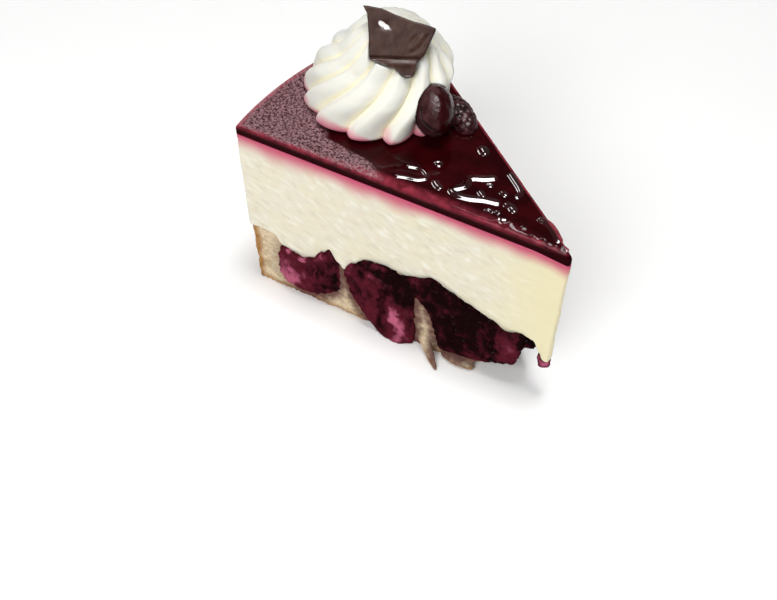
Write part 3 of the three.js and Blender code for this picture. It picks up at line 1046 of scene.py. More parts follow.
# ---------------------------------------------------------------- cream
@dataclass
class CreamLayer:
    """The thick layer of set cream, whose cut faces keep the drag marks of the knife.

    Attributes:
        tip_lean: How much further back the tip is at the foot.
        spacing: Distance between points along the edge.
        side_levels: How many rings the side has.
        line_wobble: How uneven the line over the base is on a small scale.
        streak_size: Size of the drag marks along the knife's way, across it and in depth.
        streak_slope: How far the knife's way sinks.
        streak_depth: How deep the marks are.
        lump_size: Size of the soft lumps.
        lump_depth: How high they are.
        stain_depth: How deep the pink goes.
        pool_at: Where it goes deeper on the near cut, as the distance from the cake's middle.
        pool_width: How wide that place is.
        pool_depth: How much deeper it goes there.
    """

    tip_lean: float = 1.0
    spacing: float = 0.5
    side_levels: int = 88
    line_wobble: float = 0.45
    streak_size: Triple = (4.2, 1.7, 1.0)
    streak_slope: float = math.radians(23)
    streak_depth: float = 0.15
    lump_size: float = 12.0
    lump_depth: float = 0.25
    stain_depth: float = 7.0
    pool_at: float = 93.0
    pool_width: float = 9.0
    pool_depth: float = 2.0
    noise: Noise = Noise(11)

    def bottom(self, distance: Array, share: Array) -> Array:
        """Height of the underside: the base's top, made uneven on a small scale."""
        places = CAKE.place(distance, share, 0.0)
        return CAKE.base_top(distance, share) + self.line_wobble * self.noise.rough(places, 4.0)

    def layer(self) -> Layer:
        """The layer's plain form.

        Returns:
            The layer.
        """
        return Layer(
            inner=lambda level: CAKE.tip_cut + self.tip_lean * (1 - level),
            outer=lambda level: np.full_like(level, CAKE.radius),
            bottom=self.bottom,
            top=lambda distance, share: CAKE.cream_top - CAKE.gap / 2 - CAKE.droop(distance),
            levels=np.linspace(0, 1, self.side_levels),
            under_rings=24,
            top_rings=8,
            spacing=self.spacing,
        )

    def streaks(self, run: Array, height: Array) -> Array:
        """Noise in long thin patches that sink along the knife's way round the edge.

        Args:
            run: Distance round the edge.
            height: Height of each point.

        Returns:
            A value for each point.
        """
        lean = self.streak_slope
        along = run * math.cos(lean) - height * math.sin(lean)
        across = run * math.sin(lean) + height * math.cos(lean)
        places = np.stack(np.broadcast_arrays(along, across, 0.0), axis=-1)
        return self.noise.rough(places, np.array(self.streak_size), 3)

    def stain(self, points: Array) -> Array:
        """How pink the cream is: most under the glaze, fading over an uneven depth.

        Args:
            points: Points, in millimetres.

        Returns:
            A share for each point.
        """
        distance, share = CAKE.locate(points)
        below = CAKE.cream_top - CAKE.droop(distance) - points[..., 2]
        reach = self.stain_depth * (1 + 0.35 * self.noise.smooth(points * [1, 1, 0.3], 9.0))
        pool = np.exp(-(((distance - self.pool_at) / self.pool_width) ** 2))
        reach += self.pool_depth * pool * (share < 0.5)
        return fading(below, 0.0, reach)

    def build(self) -> None:
        """Makes the piece and its marks."""
        layer = self.layer()
        plain = layer.rings()
        streaks = self.streaks(layer.run(), plain.points[..., 2])
        lumps = self.noise.smooth(plain.points, self.lump_size)
        relief = self.streak_depth * streaks + self.lump_depth * lumps
        surface = plain.raised(relief * layer.side_share())
        piece = ring_piece("cream", surface)
        points = points_of(piece)
        distance, _ = CAKE.locate(points)
        # painted shade in the drag marks' hollows and painted highlight on their crests
        mark_rings(piece, "hollow", smoothstep(-streaks, 0.0, 1.2))
        mark_rings(piece, "crest", smoothstep(streaks, 0.15, 0.9))
        mark(piece, "stain", self.stain(points))
        mark(piece, "warm", fading(distance, 4.0, 30.0))
        dress(piece, "cream_layer", Slot.CREAM, CreamFinish().make())


# ---------------------------------------------------------------- glaze
@dataclass(frozen=True)
class Ripple:
    """A bead or a run of thick glaze that stands on the top.

    Attributes:
        path: Places on the top, as (distance along the near cut, distance in from it).
        width: Half its width.
        steepness: How high it stands, as a share of that.
    """

    path: Line
    width: float = 1.3
    steepness: float = 0.3

    @property
    def height(self) -> float:
        """How high it stands."""
        return self.steepness * self.width


@dataclass
class GlazeLayer:
    """The red jelly on the cream: rounded at its edge, glossy at the tip, and dulled by fine bubbles at the
    rim, where a paler sheen is painted.

    Attributes:
        edge_round: Radius of the rounded edge.
        spacing: Distance between points along the edge.
        sway: How far the top rises and sinks.
        run_spacing: Distance between points along a run.
        run_softening: How often they are averaged with their neighbours.
        bead_count: How many points the shortest runs have, which stay as they are.
        over_columns: How many points lie across a run's top.
        under_columns: How many lie across its underside.
        thin_lines: Strength and widths of the glow painted along the thin edge at the near cut, far cut and
            rim.
        band_strength: Strength of the broader band of painted glow beside the near cut.
        band_widths: Its width towards the tip and towards the rim.
        band_change: Distances from the cake's middle between which its width changes.
        frost_line: Where the fine bubbles and their painted sheen end, as (distance in from the near cut,
            distance along it).
        bumps: Drops at the front edge, as (along, inward, radius, height).
        ripples: The runs and beads.
        rings_of_bubbles: The rims of burst bubbles, as (along, inward, radius).
    """

    edge_round: float = 1.8
    spacing: float = 0.5
    sway: float = 0.06
    run_spacing: float = 0.2
    run_softening: int = 40
    bead_count: int = 12
    over_columns: int = 15
    under_columns: int = 5
    thin_lines: tuple[Triple, ...] = ((0.5, 0.8, 1.5), (0.8, 0.7, 1.6), (1.0, 1.2, 2.6))
    band_strength: float = 0.54
    band_widths: Pair = (4.0, 1.7)
    band_change: Pair = (62.0, 80.0)
    frost_line: Line = ((0, 60), (2, 62), (5, 66), (8, 83), (12, 87), (18, 92), (25, 95), (70, 96))
    bumps: tuple[tuple[float, float, float, float], ...] = (
        (21.0, 3.0, 1.7, 0.7), (17.2, 3.4, 1.2, 0.45), (10.4, 2.0, 1.0, 0.5), (24.5, 2.2, 0.9, 0.4),
        (6.8, 1.6, 0.9, 0.4), (13.6, 1.6, 0.8, 0.35), (29.0, 4.4, 0.8, 0.3), (3.6, 1.2, 0.8, 0.3),
    )
    ripples: tuple[Ripple, ...] = (
        Ripple(((40.2, 25.2), (39.6, 24.6)), 1.9, 0.34),
        Ripple(((46.4, 6.9), (45.6, 6.2), (44.8, 5.8)), 1.4),
        Ripple((
            (57.0, 4.2), (54.5, 5.0), (51.5, 5.4), (49.2, 7.2), (50.4, 9.2), (53.0, 10.0), (56.0, 9.2),
        ), 1.1),
        Ripple((
            (32.8, 16.2), (35.0, 14.6), (37.6, 13.8), (39.0, 12.4), (37.8, 10.2), (39.6, 8.2),
            (41.6, 6.6), (40.4, 5.6), (38.0, 5.4), (34.8, 6.0), (31.6, 7.4), (28.0, 8.0),
        ), 1.5),
        Ripple(((33.4, 9.4), (32.6, 8.8)), 1.2),
        Ripple(((27.8, 12.2), (27.2, 12.0)), 1.2, 0.34),
        Ripple(((28.8, 19.6), (26.6, 17.8), (24.8, 16.4), (22.8, 14.2), (23.6, 13.0)), 1.1),
        Ripple(((24.6, 8.6), (23.4, 8.4), (22.6, 7.8)), 1.5),
        Ripple(((28.2, 4.8), (27.6, 4.4)), 0.9, 0.34),
        Ripple(((26.2, 5.0), (25.8, 4.8)), 0.9, 0.34),
        Ripple(((24.6, 2.8), (23.4, 3.2)), 0.9, 0.34),
        Ripple(((14.2, 8.0), (11.8, 7.6), (9.6, 6.0), (7.2, 3.8))),
        Ripple(((4.8, 2.2), (4.0, 1.9)), 0.8, 0.34),
    )
    rings_of_bubbles: tuple[Triple, ...] = ((49.0, 14.0, 1.2), (32.2, 13.4, 0.9))
    noise: Noise = Noise(23)

    def inset(self, level: Array) -> Array:
        """How far the side is drawn in: nothing up to the round, then a quarter turn.

        Args:
            level: Shares of the side's height.

        Returns:
            The distance at each level.
        """
        start = 1 - self.edge_round / CAKE.glaze_thickness
        turn = np.clip((level - start) / (1 - start), 0, 1)
        return self.edge_round * (1 - np.sqrt(1 - turn**2))

    def top(self, distance: Array, share: Array) -> Array:
        """Height of the top: level but for the droop, a slow sway and bumps at the front edge.

        Args:
            distance: Distance from the cake's middle.
            share: Share of the way to the far cut.

        Returns:
            The height.
        """
        points = CAKE.place(distance, share, 0.0)
        along, inward = CAKE.along_and_inward(points)
        height = CAKE.glaze_top - CAKE.droop(distance) + self.sway * (self.noise.smooth(points, 11.0) - 0.5)
        for bump_along, bump_inward, radius, rise in self.bumps:
            away = np.hypot(along - bump_along, inward - bump_inward) / radius
            height = height + rise * np.exp(-(away**2))
        return height

    def layer(self) -> Layer:
        """The layer's form.

        Returns:
            The layer.
        """
        start = 1 - self.edge_round / CAKE.glaze_thickness
        turn = np.sin(np.linspace(0, math.pi / 2, 14))
        side = np.concatenate([np.linspace(0, start, 6)[:-1], blend(start, 1.0, turn)])
        return Layer(
            inner=lambda level: np.full_like(level, CAKE.tip_cut),
            outer=lambda level: np.full_like(level, CAKE.radius),
            bottom=lambda distance, share: CAKE.cream_top + CAKE.gap / 2 - CAKE.droop(distance),
            top=self.top,
            levels=side,
            under_rings=8,
            top_rings=100,
            spacing=self.spacing,
            inset=self.inset,
        )

    def frost_and_sheen(self, points: Array) -> Array:
        """Where fine bubbles dull the top and a paler sheen is painted: from the rim to a line beside the
        rosette.

        Args:
            points: Points, in millimetres.

        Returns:
            A share for each point.
        """
        along, inward = CAKE.along_and_inward(points)
        stations, limits = np.array(self.frost_line, float).T
        wander = 2.0 * self.noise.smooth(points, 5.0)
        reach = smoothstep(along - np.interp(inward, stations, limits) + wander, -2.0, 3.0)
        return reach * smoothstep(points[..., 2], CAKE.glaze_top - 0.8, CAKE.glaze_top - 0.2)

    def thin(self, points: Array) -> Array:
        """Where light gets through: the rounded edge, most of all the rim's, and a patchy band.

        Args:
            points: Points, in millimetres.

        Returns:
            A share for each point.
        """
        distance, share = CAKE.locate(points)
        width = CAKE.angle * distance
        gaps = (share * width, (1 - share) * width, CAKE.radius - distance)
        lines = [
            strength * fading(gap, full, whole)
            for gap, (strength, full, whole) in zip(gaps, self.thin_lines)
        ]
        reach = blend(*self.band_widths, smoothstep(distance, *self.band_change))
        band = self.band_strength * fading(gaps[0], 0.35 * reach, reach) * smoothstep(distance, 0.0, 60.0)
        upper = smoothstep(points[..., 2], CAKE.glaze_top - 1.9, CAKE.glaze_top - 0.5)
        patchy = 0.75 + 0.55 * self.noise.rough(points, 2.4)
        return np.clip(np.max([band, *lines], axis=0) * upper * patchy, 0, 1)

    def spine(self, ripple: Ripple) -> Array:
        """The softened middle line of a run, drawn out by the run's width at both ends.

        Args:
            ripple: The run.

        Returns:
            The line's points.
        """
        corners = np.array(ripple.path, float)
        length = travelled(corners)[-1]
        count = max(self.bead_count, int(length / self.run_spacing))
        line = read_line(corners, np.linspace(0, length, count))
        line = softened(line, self.run_softening if count > self.bead_count else 0)
        ahead = unit(np.gradient(line, axis=0)) * ripple.width
        return np.vstack([line[:1] - ahead[:1], line, line[-1:] + ahead[-1:]])

    def ribbon(self, ripple: Ripple) -> Rings:
        """A closed run of glaze along a path.

        Across, its top is a raised cosine, which meets the level top without an edge, and its
        underside lies just below. Its width grows as a half ellipse from each end.

        Args:
            ripple: The run's path and size.

        Returns:
            The surface, as rings across the path.
        """
        spine = self.spine(ripple)
        length = travelled(spine)[-1]
        share = np.linspace(0, 1, 2 * (len(spine) - 2))
        line = read_line(spine, share * length)
        ahead = unit(np.gradient(line, axis=0))
        left = np.stack([-ahead[:, 1], ahead[:, 0]], axis=-1)
        from_end = np.minimum(share, 1 - share) * length / ripple.width
        swell = np.sqrt(np.clip(1 - (1 - np.clip(from_end, 0, 1)) ** 2, 0.0004, 1))
        over = np.linspace(-1, 1, self.over_columns)
        under = np.linspace(0.8, -0.8, self.under_columns)
        across = np.concatenate([over, under])
        crown = np.concatenate([(1 + np.cos(math.pi * over)) / 2, np.full_like(under, -0.4)])
        spots = line[:, None] + left[:, None] * (across[None, :, None] * ripple.width * swell[:, None, None])
        flat = CAKE.on_top(spots[..., 0], spots[..., 1])
        ground = self.top(*CAKE.locate(flat))
        height = ground - 0.02 + crown * ripple.height * swell[:, None]
        return Rings.closed(np.concatenate([flat, height[..., None]], axis=-1)[:, ::-1])

    def bubble(self, along: float, inward: float, radius: float) -> Ripple:
        """The raised rim of a burst bubble: a run round a circle, whose ends overlap.

        Args:
            along: Distance along the near cut.
            inward: Distance in from it.
            radius: Radius of the rim.

        Returns:
            The run.
        """
        turn = np.linspace(0, 2.05 * math.pi, 26)
        path = zip(along + radius * np.cos(turn), inward + radius * np.sin(turn))
        return Ripple(tuple(path), 0.55, 0.4)

    def build(self) -> None:
        """Makes the glaze with its runs and beads, and its marks."""
        bubbles = [self.bubble(*place) for place in self.rings_of_bubbles]
        runs = [self.ribbon(ripple) for ripple in (*self.ripples, *bubbles)]
        body = self.layer().rings()
        piece = ring_piece("glaze", body, *runs)
        points = points_of(piece)
        level = np.arange(len(points)) < len(body.vertices())
        side = fading(points[:, 2], CAKE.glaze_top - 2.6, CAKE.glaze_top - 1.2)
        mark(piece, "gloss", np.where(level, 0.16 - 0.12 * side, 1.0))
        # fine bubbles, which bump the surface and carry a painted paler sheen
        mark(piece, "frost_and_sheen", self.frost_and_sheen(points) * level)
        # painted glow where light gets through
        mark(piece, "thin", self.thin(points))
        mark(piece, "side", side)
        dress(piece, "glaze_layer", Slot.GLAZE, GlazeFinish().make())


# ---------------------------------------------------------------- cherries
@dataclass(frozen=True)
class Patch:
    """A patch on the cut end of a cherry piece, as an ellipse.

    Attributes:
        distance: Its middle, as distance from the cake's middle.
        height: Its middle's height.
        along: Half its width.
        up: Half its height.
        tint: How much pinker, or if negative darker, the flesh is.
        rise: How far it stands out.
    """

    distance: float
    height: float
    along: float
    up: float
    tint: float
    rise: float = 0.0


@dataclass
class CherryPiece:
    """A piece of cherry that runs through the base from cut to cut.

    Attributes:
        name: Its name.
        node: The node that it stands for.
        outline: Its outline on the near cut, as (distance, height) points.
        swell: How far its ends swell out of the cuts.
        slump: How much further its foot leans out.
        lift: How much higher its middle lies.
        patches: The patches on its near end.
        base_tint: Tint of its flesh between the patches.
    """

    name: str
    node: str
    outline: Line
    swell: float
    slump: float
    lift: float
    patches: tuple[Patch, ...]
    base_tint: float = 0.3
    around: int = 220
    end_rings: int = 64
    side_rings: int = 44
    waist: float = 0.96
    lump_depth: float = 0.6
    fibre_depth: float = 0.16
    fraying: float = 0.6
    noise: Noise = Noise(37)

    def end_profile(self) -> tuple[Array, Array, Array]:
        """Share across, scale of the outline and share of the swell, for each ring.

        The swell of an end is the square root of 1 less the scale's fourth power.

        Returns:
            The three, with a value for each ring.
        """
        growing = np.linspace(0.0, 1.0, self.end_rings + 1)[1:]
        across = np.linspace(0.0, 1.0, self.side_rings + 2)[1:-1]
        waist = 1 - (1 - self.waist) * np.sin(math.pi * across)
        share = np.concatenate([np.zeros_like(growing), across, np.ones_like(growing)])
        scale = np.concatenate([growing, waist, growing[::-1]])
        dome = np.sqrt(1 - growing**4)
        swollen = np.concatenate([dome, np.zeros_like(across), dome[::-1]])
        return share[:, None], scale[:, None], swollen[:, None]

    def plain(self, around: int, grow: float = 0.0) -> tuple[Rings, Array, Array]:
        """The form of the solid.

        Args:
            around: How many points a ring has.
            grow: How much larger it is made.

        Returns:
            The surface, and the distance and height of each of its points.
        """
        rim = closed_curve(self.outline, around)
        middle = rim.mean(axis=0)
        share, scale, swollen = self.end_profile()
        edge = rim - middle
        edge *= 1 + grow / np.linalg.norm(edge, axis=1, keepdims=True)
        raised = self.lift * np.sin(math.pi * share) * smoothstep(-edge[:, 1] * scale, 0, 12)
        distance = middle[0] + edge[:, 0] * scale
        height = middle[1] + edge[:, 1] * scale + raised
        proud = (self.swell + grow + self.slump * np.exp(-((height / 7) ** 2))) * swollen
        limit = CAKE.base_top(distance, np.broadcast_to(share, distance.shape)) - 0.1 + grow
        height = np.minimum(height, limit)
        height = np.maximum(height, eased_line(CAKE.under_line, distance) - grow)
        points = CAKE.place(distance, np.broadcast_to(share, distance.shape), height, proud)
        return Rings.closed(points), distance, height

    def tint_and_rise(self, distance: Array, height: Array, share: Array) -> tuple[Array, Array]:
        """Sums the patches, each a bell over its ellipse with a frayed rim.

        On the far end the patches lie a little off, so that the two cuts differ.

        Args:
            distance: Distance of the points from the cake's middle.
            height: Their height.
            share: Their share of the way from the near cut to the far cut.

        Returns:
            How pink the flesh is at each point, and how far it stands out.
        """
        tint = np.full(distance.shape, self.base_tint)
        rise = np.zeros(distance.shape)
        places = CAKE.place(distance, share, height)
        off = 2.5 * share + 1.1 * self.noise.rough(places, 2.6)
        sunk = 2.5 * share + 1.1 * self.noise.rough(places + 90.0, 2.6)
        for patch in self.patches:
            away = ((distance - patch.distance - off) / patch.along) ** 2
            away = away + ((height - patch.height + sunk) / patch.up) ** 2
            bell = np.exp(-(away**1.5))
            tint = tint + patch.tint * bell
            rise = rise + patch.rise * bell
        return tint, rise

    def build(self, flesh: Material) -> None:
        """Makes the piece of cherry flesh with torn fibres, and its marks.

        Args:
            flesh: The cherries' material.
        """
        surface, distance, height = self.plain(self.around)
        share, _, end = self.end_profile()
        tint, rise = self.tint_and_rise(distance, height, share)
        lumps = self.noise.rough(surface.points, 6.0)
        fibres = self.noise.rough(surface.points, np.array([2.0, 2.0, 3.6]), 2)
        relief = (rise + self.lump_depth * lumps) * end
        relief += self.fibre_depth * fibres * np.clip(end + 0.4, 0, 1)
        relief += self.fraying * self.noise.rough(surface.points, 2.2) * (1 - end)
        torn = surface.raised(relief)
        torn.points[..., 2] = np.maximum(torn.points[..., 2], 0.02)
        piece = ring_piece(self.name, torn)
        middle = float(tint.mean())
        mark_rings(piece, "tint", tint + self.fibre_depth * lumps, middle, middle)
        dress(piece, self.node, Slot.CHERRY, flesh)


CHERRY_PIECES = (
    CherryPiece(
        name="cherry_outer",
        node="fruit_outer",
        outline=((100, 11), (98.5, 20), (95, 27), (86, 33), (78, 34), (76.2, 24), (76.5, 12),
                 (80.5, 6.8), (86, 3.4), (93, 2.4), (98, 4.6)),
        swell=1.0, slump=0.4, lift=1.5,
        patches=(
            Patch(95.5, 8.5, 5.0, 6.5, 0.42, 0.3), Patch(82.5, 16.0, 4.5, 10.0, -0.2, 0.2),
            Patch(85.0, 16.5, 0.5, 3.0, 0.45, -0.2), Patch(95.0, 21.0, 1.2, 1.1, 0.5, 0.4),
            Patch(89.0, 20.0, 1.2, 2.0, 0.4, 0.4), Patch(82.0, 25.5, 1.2, 1.6, 0.4, 0.4),
            Patch(77.4, 15.0, 1.4, 9.0, -0.35, -0.7), Patch(90.0, 13.0, 1.6, 4.0, 0.08, -0.5),
            Patch(86.0, 23.5, 3.0, 1.6, 0.4, 0.3),
        ),
        base_tint=0.38,
    ),
    CherryPiece(
        name="cherry_middle",
        node="fruit_middle",
        outline=((74, 20), (73.6, 28), (68, 37), (58, 39), (49, 39), (47.6, 29), (48.8, 20), (48.5, 8),
                 (48.4, 1), (51, -4), (57, -4.5), (62, -0.6), (67, 4.5), (70, 8.5), (72.2, 13)),
        swell=1.4, slump=2.4, lift=5.0,
        patches=(
            Patch(72.0, 25.0, 1.6, 3.4, 0.45, 0.4), Patch(64.0, 26.5, 2.4, 1.3, 0.35, 0.3),
            Patch(59.0, 30.5, 10.0, 3.6, -0.28, 0.0), Patch(51.0, 25.0, 7.0, 8.0, -0.3, 0.0),
            Patch(55.4, 12.5, 2.2, 4.6, 0.64, 0.6), Patch(52.6, 6.5, 2.2, 4.4, 0.52, 0.4),
            Patch(52.5, 0.6, 5.0, 2.6, 0.3, 0.2), Patch(64.5, 14.0, 4.0, 7.0, 0.06, 0.6),
            Patch(60.2, 14.0, 0.9, 9.0, -0.22, -0.8), Patch(69.0, 15.0, 1.0, 6.0, -0.1, -0.5),
        ),
        base_tint=0.3,
    ),
    CherryPiece(
        name="cherry_inner",
        node="fruit_inner",
        outline=((49.4, 26), (50, 37), (43, 43), (33, 38), (22, 34), (14.5, 33), (11.2, 28), (11.6, 19),
                 (13, 11.6), (19, 7.8), (26, 4.8), (33, 3.4), (39.4, 3.6), (41.4, 11), (44, 20)),
        swell=1.2, slump=0.6, lift=1.5,
        patches=(
            Patch(15.5, 17.5, 4.0, 7.5, 0.45, 0.3), Patch(20.8, 18.0, 1.0, 9.0, -0.1, -0.6),
            Patch(26.0, 6.4, 4.0, 2.4, 0.4, 0.1), Patch(31.0, 20.0, 5.0, 8.0, -0.02, 0.5),
            Patch(40.0, 28.0, 5.0, 6.0, -0.04, 0.3), Patch(36.0, 14.0, 1.4, 9.0, -0.08, -0.6),
            Patch(10.8, 25.0, 1.6, 5.0, -0.35, -0.3),
        ),
        base_tint=0.04,
    ),
)


@dataclass
class TipScrap:
    """The scrap of cherry that hangs under the cream at the tip: a ragged egg."""

    distance: float = 4.8
    height: float = 17.6
    along: float = 2.3
    across: float = 1.7
    up: float = 3.6
    fraying: float = 0.45
    noise: Noise = Noise(41)

    def build(self, flesh: Material) -> None:
        """Makes the scrap of cherry flesh with its ragged skin, and its marks.

        Args:
            flesh: The cherries' material.
        """
        directions, first, last = ball(72, 48)
        size = np.array([self.along, self.across, self.up])
        middle = CAKE.place(self.distance, 0.5, self.height)
        points = middle + directions * size
        limit = CAKE.base_top(*CAKE.locate(points)) - 0.1
        points[..., 2] = np.minimum(points[..., 2], limit)
        surface = Rings(points, middle + first * size, middle + last * size * [1, 1, 0.4])
        piece = ring_piece("cherry_scrap", surface.raised(self.fraying * self.noise.rough(points, 1.8)))
        mark(piece, "tint", 0.72 + 0.3 * self.noise.rough(points_of(piece), 2.5))
        dress(piece, "fruit_tip", Slot.CHERRY, flesh)


# ---------------------------------------------------------------- sponge
@dataclass(frozen=True)
class Crumb:
    """A crumb of sponge that the knife dragged out of the near cut, as an egg.

    Attributes:
        distance: Its middle's distance from the cake's middle.
        height: Its middle's height.
        proud: How far its middle stands out of the cut.
        along: Half its size along the cut.
        out: Half its size out of the cut.
        up: Half its height.
        drawn: How far its outer end is drawn along the cut.
        sink: How far that end sinks.
        slimmed: How much slimmer that end gets.
    """

    distance: float
    height: float
    proud: float
    along: float
    out: float
    up: float
    drawn: float = 0.0
    sink: float = 0.0
    slimmed: float = 0.0

    def rings(self) -> Rings:
        """The egg, flat where it meets the ground.

        Returns:
            The surface.
        """
        directions, first, last = ball(40, 28)

        def moved(direction: Array) -> Array:
            """Where a direction of the ball ends up on the near cut.

            Args:
                direction: A unit vector.

            Returns:
                The place.
            """
            reach = -direction[..., 1]
            slim = 1 - self.slimmed * (reach + 1) / 2
            height = np.maximum(self.height + direction[..., 2] * self.up * slim - self.sink * reach, 0.0)
            distance = self.distance - direction[..., 0] * self.along * slim - self.drawn * reach
            return CAKE.place(distance, 0.0, height, self.proud + reach * self.out)

        return Rings(moved(directions), moved(first), moved(last))


@dataclass
class SpongeBase:
    """The sponge round the cherries: a torn, open crumb with a toasted rim and foot.

    Attributes:
        inner: How far from the cake's middle it ends at the torn hollow.
        rim_inset: How far its rim lies in from the cream's.
        foot_inset: How much further in its foot lies.
        voxel: Size of the even mesh's faces.
        pit_sizes: Sizes of the large and the small pits.
        pit_depths: Their depths.
        lump_depth: How high the soft lumps are.
        juice_strength: How dark the juice stain and painted shade are further in and at the rim.
        juice_change: Distances from the cake's middle between which that changes.
        juice_reach: Distances from a cherry between which the juice stain and painted shade fade.
        crumbs: The crumbs dragged out of the near cut.
    """

    inner: float = 24.0
    rim_inset: float = 0.8
    foot_inset: float = 0.7
    voxel: float = 0.6
    pit_sizes: Pair = (2.3, 1.2)
    pit_depths: Pair = (0.42, 0.28)
    lump_depth: float = 0.3
    juice_strength: Pair = (0.95, 0.35)
    juice_change: Pair = (92.0, 98.0)
    juice_reach: Pair = (0.8, 5.2)
    crumbs: tuple[Crumb, ...] = (
        Crumb(41.6, 2.6, 3.0, 3.0, 4.3, 3.0, 4.8, 2.2, 0.55),
        Crumb(32.0, 1.5, 0.8, 6.2, 2.0, 1.7),
    )
    noise: Noise = Noise(53)

    def block(self) -> Rings:
        """The base without its cherries.

        Returns:
            The block.
        """
        layer = Layer(
            inner=lambda level: np.full_like(level, self.inner),
            outer=lambda level: CAKE.radius - self.rim_inset - self.foot_inset * (1 - level),
            bottom=lambda distance, share: eased_line(CAKE.under_line, distance),
            top=lambda distance, share: CAKE.base_top(distance, share) - 0.05,
            levels=np.linspace(0, 1, 26),
            under_rings=40,
            top_rings=40,
            spacing=1.0,
        )
        return layer.rings()

    def relief(self, points: Array) -> Array:
        """Torn crumb: pits between the cells of two sizes of cellular noise, and soft lumps.

        Args:
            points: Points, in millimetres.

        Returns:
            The height at each point.
        """
        relief = self.lump_depth * self.noise.smooth(points, 5.0)
        for number, (size, depth) in enumerate(zip(self.pit_sizes, self.pit_depths)):
            relief -= depth * (self.noise.cells(points + 50.0 * number, size) - 0.5)
        return relief

    def crust(self, points: Array) -> Array:
        """Where the sponge is toasted: at the rim, and in a thin line at the foot.

        Args:
            points: Points, in millimetres.

        Returns:
            A share for each point.
        """
        distance, _ = CAKE.locate(points)
        wander = 0.8 * self.noise.rough(points, 4.0)
        rim = smoothstep(distance + wander, CAKE.radius - 5.2, CAKE.radius - 2.6)
        foot = fading(points[:, 2] + wander, 0.4, 3.2)
        return np.clip(np.maximum(rim, 0.85 * foot), 0, 1)

    def juice(self, points: Array) -> Array:
        """Where the sponge is darker beside the cherries' outlines: partly cherry juice soaked in, partly
        painted shade between the cherries.

        Args:
            points: Points, in millimetres.

        Returns:
            A share for each point.
        """
        distance, _ = CAKE.locate(points)
        near = np.full(len(points), 9.0)
        for cherry in CHERRY_PIECES:
            rim = closed_curve(cherry.outline, 60)
            gaps = np.hypot(distance[:, None] - rim[:, 0], points[:, 2:3] - rim[:, 1])
            near = np.minimum(near, gaps.min(axis=1))
        most = blend(*self.juice_strength, smoothstep(distance, *self.juice_change))
        return most * fading(near + 1.4 * self.noise.rough(points, 3.0), *self.juice_reach)

    def build(self) -> None:
        """Makes the base with its hollows, evens out its mesh and tears its surface."""
        piece = ring_piece("sponge", self.block())
        for crumb in self.crumbs:
            join_or_cut(piece, ring_piece("crumb", crumb.rings()), "UNION")
        for cherry in CHERRY_PIECES:
            join_or_cut(piece, ring_piece("hollow", cherry.plain(90, -0.35)[0]), "DIFFERENCE")
        remesh = piece.modifiers.new("even_mesh", "REMESH")
        remesh.mode = "VOXEL"
        remesh.voxel_size = self.voxel * MILLIMETRE
        apply_modifiers(piece)
        piece.data.shade_smooth()
        points = points_of(piece)
        moved = points + normals_of(piece) * self.relief(points)[:, None]
        moved[:, 2] = np.maximum(moved[:, 2], 0.0)
        move_points(piece, moved)
        mark(piece, "crust", self.crust(points))
        # juice stain mixed with painted shade between the cherries
        mark(piece, "juice", self.juice(points))
        dress(piece, "sponge_base", Slot.SPONGE, SpongeFinish().make())


# ---------------------------------------------------------------- toppings
@dataclass(frozen=True)
class Ellipsoid:
    """A round form with three half sizes, turned about the vertical.

    Attributes:
        centre: Its middle.
        facing: The direction of its first half size, seen from above.
        half: Its half sizes.
    """

    centre: Triple
    facing: float
    half: Triple

    def axes(self) -> Array:
        """Its three directions, as rows."""
        cos, sin = math.cos(self.facing), math.sin(self.facing)
        return np.array([[cos, sin, 0.0], [-sin, cos, 0.0], [0.0, 0.0, 1.0]])

    def at(self, directions: Array, raised: Array | float = 0.0) -> Array:
        """Points of its surface, raised by some height, for directions of a ball."""
        sizes = np.array(self.half) + np.asarray(raised)[..., None]
        return np.array(self.centre) + (directions * sizes) @ self.axes()

    def local(self, ways: Array, grow: float = 0.0) -> Array:
        """Ways in space as ways in the ball that the form is a stretched copy of."""
        return (ways @ self.axes().T) / (np.array(self.half) + grow)

    def entry(self, start: Array, ways: Array, grow: float) -> Array:
        """How far rays travel until they enter the form; far beyond it if they miss.

        With a, b and c the products way.way, start.way and start.start - 1 in the ball, it is
        (-b - root(b squared - ac)) / a.

        Args:
            start: Where the rays start.
            ways: Their unit directions.
            grow: How much larger the form is made.

        Returns:
            The distances.
        """
        begin, way = self.local(start - np.array(self.centre), grow), self.local(ways, grow)
        a = np.sum(way * way, axis=-1)
        b = np.sum(begin * way, axis=-1)
        c = np.sum(begin * begin, axis=-1) - 1
        root = b * b - a * c
        return np.where((root > 0) & (b < 0), (-b - np.sqrt(np.maximum(root, 0))) / a, 999.0)

    def pushed_out(self, points: Array, grow: float) -> Array:
        """Points with the ones inside the grown form moved out to its surface.

        Args:
            points: Points, in millimetres.
            grow: How far the form is grown.

        Returns:
            The moved points.
        """
        away = points - np.array(self.centre)
        depth = np.linalg.norm(self.local(away, grow), axis=-1, keepdims=True)
        return np.array(self.centre) + away / np.clip(depth, 0.05, 1.0)


ROUND_BERRY = Ellipsoid((-5.7, 5.7, CAKE.glaze_top + 7.8), math.radians(47.4), (5.9, 7.8, 7.4))
BRAMBLE = Ellipsoid((-4.9, 15.4, CAKE.glaze_top + CAKE.gap), math.radians(161), (8.0, 4.1, 3.9))


